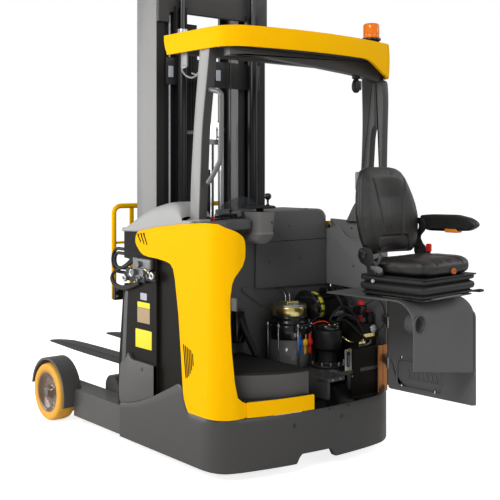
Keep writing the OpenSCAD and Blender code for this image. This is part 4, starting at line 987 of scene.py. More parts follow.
# controller, contactors and cables on the right
boxy("controllerBox", (452, 66, 417), (568, 226, 640), 8, coverPlastic, "chassis")
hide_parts("controller_box")
boxy("relayA", (470, 90, 640), (520, 150, 735), 6, glossBlack, "chassis")
boxy("relayB", (525, 80, 640), (566, 140, 700), 5, softBlack, "chassis")
boxy("relayC", (474, 160, 640), (540, 215, 712), 5, glossBlack, "chassis")
lathe("stopKnob", bulged(19, 742, 766, 7), (480, 100, 0), "z", redMat, "chassis", seg=32)
lathe("stopStem", [(0, 734), (9, 734), (9, 744), (0, 744)], (480, 100, 0), "z", glossBlack, "chassis", seg=16)
boxy("redFuse", (446, 70, 656), (462, 96, 690), 4, fuseRed, "chassis")
boxy("redCap", (500, 70, 700), (530, 92, 712), 4, fuseRed, "chassis")
lathe("dialGauge", [(0, -4), (22, -4), (24, -2), (24, 10), (0, 10)], (535, 58, 610), "y", steelMat, "chassis", seg=32)
lathe("dialFace", [(0, -5.5), (19, -5.5), (19, -3), (0, -3)], (535, 58, 610), "y", labelPale, "chassis", seg=32)
bolts("busBolts", [(470 + 24 * i, 60, 575) for i in range(4)], "y", 7, 7, brassMat, "chassis")
bricks("busBar", [(460, 552, 61, 66, 566, 586), (400, 450, 40, 44, 540, 552)], brassMat, "chassis", bevel=1)
leads = [
    ([(270, 140, 655), (262, 120, 690), (300, 110, 730), (370, 130, 740), (430, 120, 700), (470, 80, 640)], 7, hoseMat),
    ([(300, 128, 655), (300, 100, 680), (350, 88, 700), (420, 84, 670), (455, 60, 600)], 7, hoseMat),
    ([(330, 140, 655), (345, 110, 672), (400, 100, 640), (440, 70, 590), (470, 56, 560)], 7, hoseMat),
    ([(455, 340, 815), (440, 300, 824), (400, 240, 820), (390, 180, 770), (410, 140, 690), (450, 90, 650)], 8, hoseMat),
    ([(480, 340, 815), (490, 290, 822), (500, 230, 800), (505, 190, 730)], 8, hoseMat),
    ([(500, 100, 733), (540, 60, 770), (566, 30, 760), (575, 10, 700), (560, 0, 640), (545, 30, 600)], 3, hoseMat),
    ([(215, 232, 640), (240, 200, 660), (262, 168, 664), (282, 150, 650)], 3.5, redMat),
    ([(205, 232, 650), (232, 190, 690), (240, 175, 740), (225, 230, 790), (200, 300, 790)], 4, hoseMat),
    ([(120, 330, 770), (118, 332, 800), (128, 360, 818), (150, 410, 826), (160, 440, 827)], 4.5, steelMat),
    ([(150, 330, 770), (150, 334, 805), (164, 366, 816), (184, 416, 826), (196, 440, 827)], 4.5, steelMat),
    ([(-140, 430, 720), (-136, 390, 640), (-126, 340, 560), (-120, 300, 500)], 16, hoseMat),
    ([(-106, 430, 700), (-102, 390, 600), (-98, 350, 540), (-96, 320, 500)], 12, hoseMat),
    ([(240, 350, 700), (226, 300, 620), (232, 262, 540), (240, 240, 470), (244, 232, 410)], 9, hoseMat),
    ([(410, 260, 640), (400, 220, 600), (392, 200, 520), (396, 190, 420)], 10, hoseMat),
    ([(420, 200, 560), (445, 140, 530), (450, 90, 540), (440, 50, 560), (420, 40, 546)], 6, brassMat),
    ([(540, 90, 560), (500, 50, 540), (460, 44, 530), (420, 60, 524)], 6, castMat),
]
for k, (pts, r, m) in enumerate(leads):
    tube("bayLead%d" % k, pts, r, m, "chassis", seg=12, n=10)
slab("armBracket", rounded([(-100, 850), (-60, 850), (70, 770), (64, 742), (40, 740), (-96, 828)], [4, 8, 10, 8, 8, 4]), 441, 449, "y", cabPlastic, "chassis", edge=3)
boxy("bayBox", (-176, 400, 560), (-112, 446, 740), 8, glossBlack, "chassis")
for k, (x0, x1) in enumerate(((514, 546), (551, 586))):
    slab("bayStrip%d" % k, rounded([(x0, 264 + 3 * k), (x1, 264 + 3 * k), (x1, 524), (x0, 524)], 2), -2, 6, "y", copperMat, "chassis", edge=1)
print("motor bay made")

# ---------------------------------------------------------------- steering and dash
col = [(-136, 1270), (-132, 1160), (-138, 1150), (-134, 1120), (-118, 1100), (-24, 1100), (-6, 1120), (-4, 1150), (-10, 1160), (-8, 1270)]


def columnPoint(u, v):
    # four sided column with rounded corners (exponent 4.5); wider at its head, closed round below
    z = 1100 + 172 * u
    a = v * 2 * math.pi
    w = 58 + 8 * u + 6 * np.clip((0.36 - u) / 0.05, 0, 1) * np.clip(u / 0.12, 0, 1) ** 0.5 - 22 * np.clip(1 - u / 0.16, 0, 1) ** 2
    d = 64 + 6 * u + 5 * np.clip((0.36 - u) / 0.05, 0, 1)
    x = -70 + w * np.sign(np.cos(a)) * np.abs(np.cos(a)) ** 0.44
    y = 344 - 14 * u + d * np.sign(np.sin(a)) * np.abs(np.sin(a)) ** 0.44
    return x, y + 26 * np.clip(1 - u / 0.3, 0, 1), z


p = gridSurf("steeringColumn", columnPoint, 60, 80, columnPlastic, "chassis", closeV=True, capU=True, bevel=3, sharp=60)
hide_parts("steering_column")
boxy("columnArm", (-132, 385, 1112), (-8, 455, 1205), 18, columnPlastic, "chassis")
lathe("columnScrew", [(0, 0), (5, 0), (5, 3), (0, 3)], (-40, 262, 1215), "y", glossBlack, "chassis", seg=14)
lathe("columnStub", [(0, 1268), (24, 1268), (22, 1276), (20, 1288.6), (0, 1288.6)], (-69, 330, 0), "z", softBlack, "chassis", seg=32)
disc = [(0, 1289), (30, 1289), (34, 1291), (60, 1292), (78, 1290), (84, 1292), (87, 1297), (84, 1302), (74, 1305), (66, 1302), (30, 1300), (18, 1303), (0, 1304)]
p = lathe("steeringDisc", disc, (-69, 330, 0), "z", softBlack, "steering_wheel", seg=72)
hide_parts("steering_wheel")
lathe("steeringKnob", [(0, 1302), (10, 1302), (10, 1308), (6, 1316), (6, 1334), (12, 1338), (18, 1345), (20, 1354), (18, 1363), (12, 1369), (0, 1371)], (-12, 330, 0), "z", glossBlack, "steering_wheel", seg=32)

dashPlan = [(-588, 272), (-588, 168), (-560, 128), (-505, 112), (-455, 132), (-390, 190), (-330, 250), (-240, 292), (-142, 306), (-142, 452), (-430, 452), (-430, 272)]
p = slab("dashTop", rounded(dashPlan, [3, 30, 30, 30, 40, 40, 40, 40, 20, 4, 4, 4]), 1180, 1238, "z", cabPlastic, "chassis", edge=12)
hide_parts("dash")
bricks("dashVents", [(-420 + 17 * i, -411 + 17 * i, 312 + 2.5 * i, 420, 1234, 1243) for i in range(8)], glossBlack, "chassis", bevel=2)
bricks("dashRibs", [(-275 + 15 * i, -268 + 15 * i, 350, 425, 1234, 1246) for i in range(8)], glossBlack, "chassis", bevel=2)
boxy("dashScreen", (-300, 392, 1232), (-170, 438, 1262), 7, glossBlack, "chassis")
for k, (x, y) in enumerate([(-345, 300), (-315, 312), (-210, 330), (-180, 335)]):
    lathe("dashKnob%d" % k, bulged(9, 1236, 1252, 3), (x, y, 0), "z", softBlack, "chassis", seg=20)
tube("dashLever", [(-250, 372, 1236), (-250, 366, 1262), (-246, 360, 1280)], 5, glossBlack, "chassis", seg=10)
lathe("dashLeverTop", bulged(11, 1274, 1296, 8), (-246, 359, 0), "z", glossBlack, "chassis", seg=24)
lathe("keyCap", bulged(8, 1236, 1258, 4), (-455, 240, 0), "z", redMat, "chassis", seg=20)


def visorPoint(u, v):
    # clear screen: its top line rises and falls, and it leans back 40 over its height
    x = -286 + 250 * u
    top = 1262 + 92 * np.sin(np.clip(u, 0, 1) * math.pi * 0.72 + 0.35) ** 0.8
    return x, 436 - 34 * v - 10 * np.sin(math.pi * u), 1236 + v * (top - 1236)


p = shell("visorScreen", visorPoint, 40, 14, 3, (-160, 300, 1300), shieldMat, "chassis", edge=1)
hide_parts("visor")
print("steering made")


# ---------------------------------------------------------------- seat door and seat
def settled(ob):
    # the modifiers are worked into the mesh
    ob.data = bpy.data.meshes.new_from_object(ob.evaluated_get(bpy.context.evaluated_depsgraph_get()))
    ob.modifiers.clear()
    return ob


def cutBy(ob, *cutters):
    # holes cut through the piece, the cutters thrown away
    for c in cutters:
        m = ob.modifiers.new("cut", "BOOLEAN")
        m.object = c
        m.solver = "EXACT"
    settled(ob)
    for c in cutters:
        bpy.data.objects.remove(c)
    return ob


def coords(ob):
    v = np.empty(len(ob.data.vertices) * 3)
    ob.data.vertices.foreach_get("co", v)
    return v.reshape(-1, 3)


def setCoords(ob, v):
    ob.data.vertices.foreach_set("co", v.ravel())
    ob.data.update()


def closedPlace(v):
    # turns the row frame back to the closed seat door, in millimetres from its hinge
    p = v * 1000 + np.array([0, midY, 0]) - hinge
    c, s = math.cos(-openAngle), math.sin(-openAngle)
    q = p.copy()
    q[:, 0] = c * p[:, 0] - s * p[:, 1]
    q[:, 1] = s * p[:, 0] + c * p[:, 1]
    return q


def swollen(ob, size=0.005, cap=0.02):
    # foam under its cover: pressure from inside pushes each point out, at most cap far
    m = ob.modifiers.new("even", "REMESH")
    m.mode = "VOXEL"
    m.voxel_size = size
    settled(ob)
    start = coords(ob)
    m = ob.modifiers.new("cloth", "CLOTH")
    m.settings.quality = 5
    m.settings.mass = 0.3
    m.settings.tension_stiffness = m.settings.compression_stiffness = 12
    m.settings.bending_stiffness = 12.0
    m.settings.use_pressure = True
    m.settings.uniform_pressure_force = 4.0
    m.settings.effector_weights.gravity = 0.0
    m.point_cache.frame_end = 20
    for f in range(1, 21):
        bpy.context.scene.frame_set(f)
    settled(ob)
    d = coords(ob) - start
    n = np.linalg.norm(d, axis=1, keepdims=True)
    setCoords(ob, start + d * np.minimum(1, cap / np.maximum(n, 1e-9)))
    bpy.context.scene.frame_set(1)
    m = ob.modifiers.new("relax", "SMOOTH")
    m.factor, m.iterations = 0.5, 14
    m = ob.modifiers.new("fine", "SUBSURF")
    m.levels = m.render_levels = 1
    settled(ob)
    ob.data.polygons.foreach_set("use_smooth", [True] * len(ob.data.polygons))
    return ob


def stitched(ob, lines, ax, depth, width, front):
    # seam: points within width of a line sink by depth * exp(-(d / width)^2); ax picks the two plane axes
    v = coords(ob)
    q = closedPlace(v)
    p = q[:, ax]
    near = np.full(len(p), 1e9)
    for line in lines:
        line = np.asarray(line, float)
        for a, b in zip(line[:-1], line[1:]):
            t = np.clip(((p - a) @ (b - a)) / ((b - a) @ (b - a)), 0, 1)
            near = np.minimum(near, np.linalg.norm(p - a - t[:, None] * (b - a), axis=1))
    pull = depth * np.exp(-(near / width) ** 2) * front(q)
    nrm = np.empty(len(v) * 3)
    ob.data.vertices.foreach_get("normal", nrm)
    setCoords(ob, v - nrm.reshape(-1, 3) * (pull / 1000)[:, None])
    return ob


seatBox = {"lo": (-552, 10, 318), "hi": (300, 900, 885), "r": 112, "wall": 7, "cup": (482, 778), "cupR": 40}
shellOb = boxy("seatDeck", seatBox["lo"], seatBox["hi"], seatBox["r"], cabPlastic, "seat_door", 12, swing=True)
bm = bmesh.new()
bm.from_mesh(shellOb.data)
for place, normal in (((-16, 0, 0), (1, 0, 0)), ((0, 530, 0), (0, 1, 0)), ((0, 22, 486), (0, 0.16, -1))):
    a = (swung(np.array([place, np.array(place) + normal])) - [0, midY, 0]) / 1000
    geom = bm.verts[:] + bm.edges[:] + bm.faces[:]
    bmesh.ops.bisect_plane(bm, geom=geom, plane_co=a[0], plane_no=a[1] - a[0], clear_outer=True)
bmesh.ops.recalc_face_normals(bm, faces=bm.faces)
topFace = max(bm.faces, key=lambda f: f.calc_center_median().z)
if topFace.normal.z < 0:
    bmesh.ops.reverse_faces(bm, faces=bm.faces)
bmesh.ops.subdivide_edges(bm, edges=[e for e in bm.edges if e.calc_length() > 0.06], cuts=14, use_grid_fill=True)
bm.to_mesh(shellOb.data)
bm.free()
v = coords(shellOb)
q = closedPlace(v)
# the upright edge is sharper than the other two: its circle a^2 + b^2 becomes a^8 + b^8
rr = seatBox["r"]
a = np.clip((-552 + rr - q[:, 0]) / rr, 0, None)
b = np.clip((10 + rr - q[:, 1]) / rr, 0, None)
grow = np.where(a * b > 1e-6, np.hypot(a, b) / np.maximum((a ** 8 + b ** 8) ** 0.125, 1e-6), 1.0)
q[:, 0] = np.where(a > 0, -552 + rr - rr * a * grow, q[:, 0])
q[:, 1] = np.where(b > 0, 10 + rr - rr * b * grow, q[:, 1])
v = (swung(q) - [0, midY, 0]) / 1000
# a soft swelling low on the front panel: x moves out by 7 exp(-(d / 13)^2) along a slanting line
d = q[:, 2] - (575 + 0.14 * (q[:, 1] - 143))
reachY = 1 / (1 + np.exp(-(q[:, 1] - 120) / 16)) / (1 + np.exp((q[:, 1] - 400) / 16))
lift = 6.0 * (np.exp(-(np.maximum(d, 0) / 10) ** 2) * np.exp(-(np.minimum(d, 0) / 34) ** 2)) * reachY
out = swung(np.array([[-1.0, 0, 0], [0, 0, 0]]))
setCoords(shellOb, v + (out[0] - out[1]) * ((q[:, 0] < -540) * lift / 1000)[:, None])
m = shellOb.modifiers.new("wall", "SOLIDIFY")
m.thickness = seatBox["wall"] / 1000
m.offset = -1
cy, cz = seatBox["cup"]
cupCut = lathe("cupCutter", [(0, -60), (seatBox["cupR"], -60), (seatBox["cupR"], 60), (0, 60)], (-500, cy, cz), "x", cabPlastic,
               "seat_door", 48, swing=True, smooth=False)
cutBy(shellOb, cupCut)
m = shellOb.modifiers.new("edge", "BEVEL")
m.width = 0.0015
m.segments = 2
m.limit_method = "ANGLE"
m.angle_limit = math.radians(40)
shellOb.modifiers.new("shade", "WEIGHTED_NORMAL").keep_sharp = False
shellOb.data.polygons.foreach_set("use_smooth", [True] * len(shellOb.data.polygons))
r = seatBox["cupR"]
cup = lathe("cupWell", [(0, 48), (r - 10, 48), (r - 3, 42), (r - 1, 30), (r + 1, -9), (r + 5, -11), (r + 7, -8), (r + 7, -3),
                        (r + 3, 0), (r + 3, 52), (0, 52)], (-544, cy, cz), "x", cabPlastic, "seat_door", 56, swing=True)
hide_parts("seat_box")

door = {"outer": [(-552, 318), (-14, 318), (-14, 800), (-552, 800)], "recess": [(-362, 343), (-73, 343), (-73, 489), (-362, 489)]}


def ringSlab(name, outer, inner, w0, w1, mat, body, edge=2.0, **kw):
    # a flat sheet with a hole: outer and inner outlines walked with the same number of points
    k = 96
    a = along(np.vstack([outer, outer[:1]]), k + 1)[:-1]
    b = along(np.vstack([inner, inner[:1]]), k + 1)[:-1]
    c = b.mean(0)
    ta = np.argsort(np.arctan2(*(a - c).T[::-1]))
    tb = np.argsort(np.arctan2(*(b - c).T[::-1]))
    a, b = a[ta], b[tb]
    rings = [(a, w0), (a, w1), (b, w1), (b, w0)]
    p = np.vstack([np.stack([r[:, 0], np.full(k, w), r[:, 1]], 1) for r, w in rings])
    return makeMesh(name, p, gridFaces(4, k, closeU=True, closeV=True), mat, body, bevel=edge, sharp=50, **kw)


recess = rounded(door["recess"], 30, 7)
outer = rounded(door["outer"], [4, 4, 40, 40], 6)
doorOb = ringSlab("doorPanel", outer, recess, 12, 22, doorPlastic, "seat_door", swing=True)
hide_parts("door_panel")
p = ringSlab("recessLip", rounded([(-368, 337), (-67, 337), (-67, 495), (-368, 495)], 34, 7), inset(recess, 3), 20, 26,
             doorPlastic, "seat_door", 2.0, swing=True)
slab("recessFloor", rounded([(-372, 333), (-63, 333), (-63, 499), (-372, 499)], 34, 7), 7, 12.5, "y", doorPlastic, "seat_door", 1,
     swing=True)
slab("doorSkin", rounded([(-550, 320), (-16, 320), (-16, 520), (-550, 520)], 10), 6.2, 11.8, "y", yellow, "seat_door", 2, swing=True)
for i in range(7):
    x = -319 + i * 28.8
    tube("louvre%d" % i, [(x - 7, 14, 386), (x - 4, 16, 396), (x, 17, 413), (x + 4, 16, 430), (x + 6, 14, 440)], [2, 5, 5, 5, 2],
         doorPlastic, "seat_door", 10, True, 6, swing=True)
    slab("louvreGap%d" % i, rounded([(x - 1, 388), (x + 6, 388), (x + 13, 438), (x + 6, 438)], 3), 12.2, 13.2, "y", softBlack,
         "seat_door", 0.3, swing=True)
for i, (x, z) in enumerate([(-99, 497), (-99, 347), (-309, 345)]):
    lathe("doorScrew%d" % i, bulged(7.5, 22, 27, 2.2), (x, 0, z), "y", chromeMat, "seat_door", 24, swing=True)
    lathe("doorWasher%d" % i, bulged(11, 21, 23.4, 0.8), (x, 0, z), "y", steelMat, "seat_door", 28, swing=True)
print("seat door made")

# bellows: a rounded rectangle whose inset follows the folds up the height
folds = np.array([[990, 34], [986, 14], [981, 4], [973, 2], [966, 6], [962, 18], [958, 24], [954, 16], [949, 5], [940, 0],
                  [929, 1], [921, 6], [917, 17], [913, 22], [909, 12], [904, 8], [898, 14], [893, 30], [888, 52]], float)
foldPath = curvePath(folds, 5)
base = rounded([(-592, 62), (-204, 62), (-204, 516), (-592, 516)], 44, 8)
rings = [np.hstack([inset(base, d), np.full((len(base), 1), z)]) for z, d in foldPath]
f = gridFaces(len(rings), len(base), closeV=True)
f.append(tuple(range(len(base))))
f.append(tuple(range((len(rings) - 1) * len(base), len(rings) * len(base))))
bellows = makeMesh("seatBellows", np.vstack(rings), f, bellowsMat, "seat_door", swing=True)
boxy("seatBase", (-578, 90, 885), (-232, 490, 893), 3, glossBlack, "seat_door", 3, True)
boxy("seatPan", (-596, 76, 984), (-216, 504, 992), 3.5, softBlack, "seat_door", 3, True)
bricks("seatRails", [(-560, -250, 120, 152, 884.5, 896), (-560, -250, 426, 458, 884.5, 896)], steelMat, "seat_door", 2, swing=True)
tube("slideBar", [(-556, 180, 893), (-588, 200, 894), (-594, 240, 896), (-594, 372, 896), (-588, 412, 894), (-556, 432, 893)], 4,
     castMat, "seat_door", 12, True, 8, swing=True)
tube("heightLever", [(-545, 96, 900), (-572, 62, 900), (-580, 30, 899), (-582, 8, 898)], [5, 6, 9, 8], softBlack, "seat_door", 14,
     swing=True)
boxy("heightGrip", (-594, 2, 892), (-570, 44, 905), 6, softBlack, "seat_door", 4, True)
lathe("whiteCap", bulged(9, 0, 14, 5), (-300, 508, 962), "y", labelPale, "seat_door", 24, swing=True)
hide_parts("seat_suspension")

# recline hinges and the armrest arm, cast plates with rounded outlines
plates = {
    "reclineLeft": ([(-252, 1124), (-214, 1112), (-206, 1074), (-226, 1044), (-262, 1030), (-268, 992), (-352, 988), (-366, 1004),
                     (-350, 1028), (-318, 1036), (-300, 1068), (-290, 1100), (-276, 1120)], 506, 518),
    "reclineRight": ([(-252, 1124), (-214, 1112), (-206, 1074), (-226, 1044), (-250, 1030), (-256, 992), (-330, 988), (-344, 1004),
                      (-330, 1028), (-306, 1036), (-292, 1068), (-280, 1100)], 47, 60),
    "armBracket1": ([(-214, 1236), (-222, 1250), (-262, 1246), (-280, 1214), (-272, 1182), (-248, 1160), (-244, 1142),
                     (-270, 1100), (-272, 1060), (-226, 1060), (-212, 1100), (-206, 1150), (-232, 1192), (-236, 1214)], 45, 54),
}
for name, (loop, y0, y1) in plates.items():
    slab(name, rounded(loop, 12, 5), y0, y1, "y", softBlack, "seat_door", 3, swing=True)
for i, (x, z, y, r) in enumerate([(-240, 1086, 518, 22), (-316, 1008, 518, 12), (-225, 1100, 60, 14), (-245, 1222, 42, 15)]):
    lathe("reclineCap%d" % i, bulged(r, -4, 7, 3), (x, y, z), "y", glossBlack, "seat_door", 32, swing=True)
lug = slab("reclineLever", rounded([(-372, 1086), (-352, 1094), (-330, 1060), (-300, 1052), (-296, 1036), (-326, 1034), (-348, 1046)],
                                   8), 519, 528, "y", glossBlack, "seat_door", 4, swing=True)
slab("reclineGrip", rounded([(-360, 1030), (-300, 1046), (-290, 1022), (-340, 1000), (-366, 1010)], 8), 518, 526, "y", castMat,
     "seat_door", 3, swing=True)
boxy("buckle", (-322, 58, 1076), (-296, 80, 1118), 6, redMat, "seat_door", 4, True)
boxy("buckleStem", (-316, 60, 1030), (-302, 72, 1082), 4, softBlack, "seat_door", 3, True)


def cushionShape(u, v):
    # superellipse outline in plan; the height follows a waterfall front and raised thigh sides
    a = v * 2 * math.pi
    t = np.clip(u, 0, 1) * math.pi
    s = np.maximum(np.sin(t), 0.0) ** 0.27
    cx = np.sign(np.cos(a)) * np.abs(np.cos(a)) ** 0.36 * s
    cy = np.sign(np.sin(a)) * np.abs(np.sin(a)) ** 0.36 * s
    x = -406 + cx * np.where(cx < 0, 188, 180)
    y = 289 + cy * (212 - 6 * (cx > 0) * cx)
    h = -np.sign(np.cos(t)) * np.abs(np.cos(t)) ** 0.55
    top = 1071 + 9 * np.abs(cy) ** 3 - 16 * np.clip(-cx - 0.72, 0, 1) ** 1.2 * 2.4 - 9 * np.clip(cx, 0, 1)
    z = np.where(h > 0, 1030 + h * (top - 1030), 1030 + h * 36)
    return x, y, z


cushion = gridSurf("seatCushion", cushionShape, 48, 120, vinyl, "seat_door", closeV=True, swing=True)
swollen(cushion, 0.005, 0.005)
rim = rounded([(-566, 96), (-240, 96), (-240, 482), (-566, 482)], 50, 8)
stitched(cushion, [np.array([(-228, 210), (-420, 206), (-520, 196), (-600, 180)]),
                   np.array([(-228, 368), (-420, 372), (-520, 382), (-600, 398)])], [0, 1], 4.5, 5.5,
         lambda q: (q[:, 2] > 1044) * 1.0)
stitched(cushion, [np.array([(-530, 200), (-530, 378)])], [0, 1], 3.0, 5.5, lambda q: (q[:, 2] > 1044) * 1.0)
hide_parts("seat_cushion")
knob = lathe("weightKnob", [(0, -2), (5, -2), (6, -8), (8, -10), (13, -9), (15, -4), (15, 8), (0, 8)], (-590, 270, 1014), "x",
             rustMat, "seat_door", 30, swing=True)

backTable = {"z": [1076, 1094, 1130, 1170, 1220, 1270, 1320, 1370, 1420, 1460, 1490, 1508, 1516],
             "w": [168, 196, 214, 226, 234, 238, 231, 217, 199, 182, 160, 128, 84],
             "c": [289, 289, 289, 289, 289, 289, 291, 295, 301, 308, 314, 317, 318],
             "f": [-250, -258, -262, -262, -259, -254, -246, -238, -229, -222, -214, -204, -192],
             "b": [-196, -184, -172, -162, -154, -148, -144, -140, -138, -138, -142, -150, -162]}


def backShape(u, v):
    # sections up the height; each is a superellipse, narrower behind, with the middle of its front hollowed
    t = (1 - np.cos(u * math.pi)) / 2
    z = 1076 + t * (1516 - 1076)
    w, c, f, b = (np.interp(z, backTable["z"], backTable[k]) for k in "wcfb")
    end = np.clip(np.minimum(u, 1 - u) / 0.02, 0, 1)
    a = v * 2 * math.pi
    cx = np.sign(np.cos(a)) * np.abs(np.cos(a)) ** 0.62
    sy = np.sign(np.sin(a)) * np.abs(np.sin(a)) ** 0.62
    side = sy * (1 - 0.16 * np.clip(cx, 0, 1))
    hollow = 22 * np.exp(-((side / 0.62) ** 2) * 1.4) * np.clip(-cx, 0, 1) * np.clip((1480 - z) / 120, 0, 1)
    x = f + (b - f) * (0.34 + (((1 + cx) / 2) ** 1.55 - 0.34) * end) + hollow * end
    return x, c + side * w * end, z + 0 * a


back = gridSurf("seatBack", backShape, 90, 120, vinyl, "seat_backrest", closeV=True, swing=True)
swollen(back, 0.005, 0.006)
half = [(1450, 132), (1400, 116), (1320, 94), (1240, 81), (1160, 77)]
seams = [np.array([(289 + s * w, z) for z, w in half]) for s in (-1, 1)]
pad = rounded([(170, 1092), (408, 1092), (400, 1166), (178, 1166)], 16, 5)
stitched(back, seams + [np.vstack([pad, pad[:1]])], [1, 2], 7.5, 5.5, lambda q: (q[:, 0] < -195) * 1.0)
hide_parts("seat_backrest")


def backCover(u, v):
    # hard shell behind the pad, a bowed plate with rounded corners
    z = 1130 + u * 360
    w = np.interp(z, backTable["z"], backTable["w"]) * 0.72
    c = np.interp(z, backTable["z"], backTable["c"])
    s = v * 2 - 1
    x = np.interp(z, backTable["z"], backTable["b"]) + 14 - 16 * s * s
    return x, c + s * w, z


coverOb = shell("seatBackShell", backCover, 40, 40, 5, (-180, 289, 1300), softBlack, "seat_backrest", 1.5, True)
boxy("headPlate", (-184, 462, 1396), (-160, 482, 1486), 6, castMat, "seat_backrest", 4, True)

arm = rounded([(-227, 1262), (-300, 1268), (-453, 1270), (-530, 1256), (-566, 1236), (-570, 1216), (-545, 1200), (-519, 1190),
               (-386, 1183), (-278, 1182), (-238, 1196), (-228, 1226)], 16, 5)
armOb = slab("armPad", arm, -7, 41, "y", vinyl, "armrest", 15, 7, swing=True)
armOb.modifiers.new("soft", "SUBSURF").levels = 1
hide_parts("armrest")
slab("armTrim", rounded([(-300, 1188), (-380, 1216), (-460, 1222), (-516, 1206), (-516, 1196), (-386, 1189)], 8), -9, 43, "y",
     softBlack, "armrest", 6, 4, swing=True)
boxy("armButton", (-458, -9, 1178), (-386, 43.5, 1200), 5, orangeMat, "armrest", 4, True)
print("seat made")


# ---------------------------------------------------------------- mast, load frame and forks
# a pale copy of the dark mast grey, used on the rails' outer faces: painted light where the key light falls
railLitPaint = painted("railLitGrey", (0.20, 0.198, 0.193), 0.40, 0.1)
barrelMat = brushed("barrelGrey", (0.018, 0.018, 0.019), 0.32, (1, 1, 20), 0.7)
mast = {"half": 400, "y0": 830, "y1": 1030, "low": 95, "top": 2745}
for s, tag in ((-1, "Left"), (1, "Right")):
    side = rounded([(mast["y0"] + 3, mast["low"]), (mast["y1"] - 3, mast["low"]), (mast["y1"] - 3, mast["top"]), (mast["y0"] + 3, mast["top"])], 4)
    # pale skin over each rail's outer face: painted light, the lit side of the dark mast
    slab("railSkin" + tag, side, s * mast["half"] - 0.9, s * mast["half"] + 0.9, "x", railLitPaint, "reach", edge=0.8)
    # barrel collars and the bright gland nut at the top of each lift cylinder
    lathe("glandNut" + tag, bulged(33, 2262, 2292, 3, 19), (s * 260, 782, 0), "z", steelMat, "reach", 40)
    lathe("collar" + tag, bulged(32, 1180, 1204, 2, 28), (s * 260, 782, 0), "z", castMat, "reach", 40)
p = lathe("liftBarrelLeft", bulged(29.6, 250, 2262, 3, 20), (-260, 782, 0), "z", barrelMat, "reach", 48)
q = lathe("liftBarrelRight", bulged(29.6, 250, 2262, 3, 20), (260, 782, 0), "z", barrelMat, "reach", 48)
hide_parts("lift_barrels")
slab("crossPlate", rounded([(-345, 1980), (345, 1980), (345, 2134), (-345, 2134)], 6), 812.5, 827, "y", innerPaint, "reach", 3)
beam = rounded([(-399, 2602), (-399, 2330), (-330, 2330), (-330, 2376), (-316, 2392), (316, 2392), (330, 2376), (330, 2330), (399, 2330), (399, 2602)], [4, 4, 2, 20, 20, 20, 20, 2, 4, 4])
slab("beamSkin", beam, 809.5, 812.5, "y", darkPaint, "reach", 1.2)
for k, x in enumerate((-318, 20)):
    boxy("crossLug%d" % k, (x - 16, 805, 2020), (x + 16, 813, 2084), 3, labelPale, "reach")
for k in range(5):
    tube("mastHose%d" % k, [(-228 + 19 * k, 797, 420), (-228 + 19 * k, 797, 1200), (-228 + 19 * k, 797, 1990)], 8.4, hoseMat, "reach", 14, False)
    tube("mastHoseTop%d" % k, [(-228 + 19 * k, 797, 1985), (-228 + 19 * k, 798, 2200), (-226 + 18 * k, 800, 2328)], 8.4, hoseMat, "reach", 14, True, 6)
boxy("hoseClampLow", (-240, 786, 900), (-140, 809, 922), 3, castMat, "reach")
boxy("hoseClampHigh", (-240, 786, 1700), (-140, 809, 1722), 3, castMat, "reach")
links = [(92, 104, 792, 800, z, z + 9) for z in range(430, 2330, 16)] + [(95, 101, 789.5, 802.5, z + 7, z + 18) for z in range(430, 2320, 16)]
bricks("mastChain", links, chainMat, "reach", 1.2)
pale = [(-324, -314, 818, 824, z, z + 8) for z in range(1180, 2370, 14)] + [(-322, -316, 817, 825, z + 6, z + 16) for z in range(1180, 2360, 14)]
bricks("paleChain", pale, labelPale, "reach", 1.2)
print("mast made")

frameLine = [(-456, 1192, 744), (-456, 1192, 1246)] + [(-456 + 46 * (1 - math.cos(t)), 1192, 1246 + 40 * math.sin(t)) for t in np.linspace(0.2, 1.57, 7)]
frameLine += [(-p[0], p[1], p[2]) for p in frameLine[::-1]]
p = tube("loadFrame", frameLine, 14.5, yellow, "side_shifter", 16, False)
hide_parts("load_backrest")
for s in (-1, 1):
    boxy("frameBar%d" % (s + 1), (s * 335 - 14, 1186, 744), (s * 335 + 14, 1198, 1284), 3, yellow, "side_shifter")
    boxy("frameTie%d" % (s + 1), (min(s * 456, s * 335), 1187, 1064), (max(s * 456, s * 335), 1197, 1078), 3, yellow, "side_shifter")
boxy("frameMid", (-335, 1187, 1060), (335, 1197, 1082), 3, yellow, "side_shifter")
bolts("frameBolts", [(x, 1154, z) for x in (-456, -335, 335, 456) for z in (762, 800)], "y", 9, 8, steelMat, "side_shifter")


def forkShape(centre):
    # a bar swept down the shank, round the heel and out along the blade; it thins and narrows to the tip
    heel = [(1226 + 52 - 52 * math.cos(t), 372 - 52 * math.sin(t)) for t in np.linspace(0, math.pi / 2, 9)]
    line = np.array([(1226, 850), (1226, 600)] + heel + [(y, 320) for y in (1500, 1800, 2000, 2150)] + [(2250, 316), (2330, 311), (2370, 307), (2388, 306), (2394, 306)], float)
    n = len(line)
    thick = np.array([38, 40] + [40] * 9 + [40, 40, 36, 30, 22, 16, 13, 10, 4], float)
    wide = np.array([104, 104] + [105] * 9 + [105, 105, 104, 98, 84, 66, 50, 34, 18], float)
    tang = np.gradient(line, axis=0)
    tang /= np.linalg.norm(tang, axis=1, keepdims=True)
    nrm = np.stack([tang[:, 1], -tang[:, 0]], 1)
    nrm[:2] = (-1, 0)
    rings = []
    for c, m, t, w in zip(line, nrm, thick, wide):
        e = min(5.0, 0.3 * t)
        ring = [(-w / 2 + e, -t / 2), (w / 2 - e, -t / 2), (w / 2, -t / 2 + e), (w / 2, t / 2 - e), (w / 2 - e, t / 2), (-w / 2 + e, t / 2), (-w / 2, t / 2 - e), (-w / 2, -t / 2 + e)]
        rings += [(centre + a, c[0] + m[0] * b, c[1] + m[1] * b) for a, b in ring]
    f = gridFaces(n, 8, closeV=True)
    f += [tuple(range(8)), tuple(range((n - 1) * 8, n * 8))]
    return rings, f


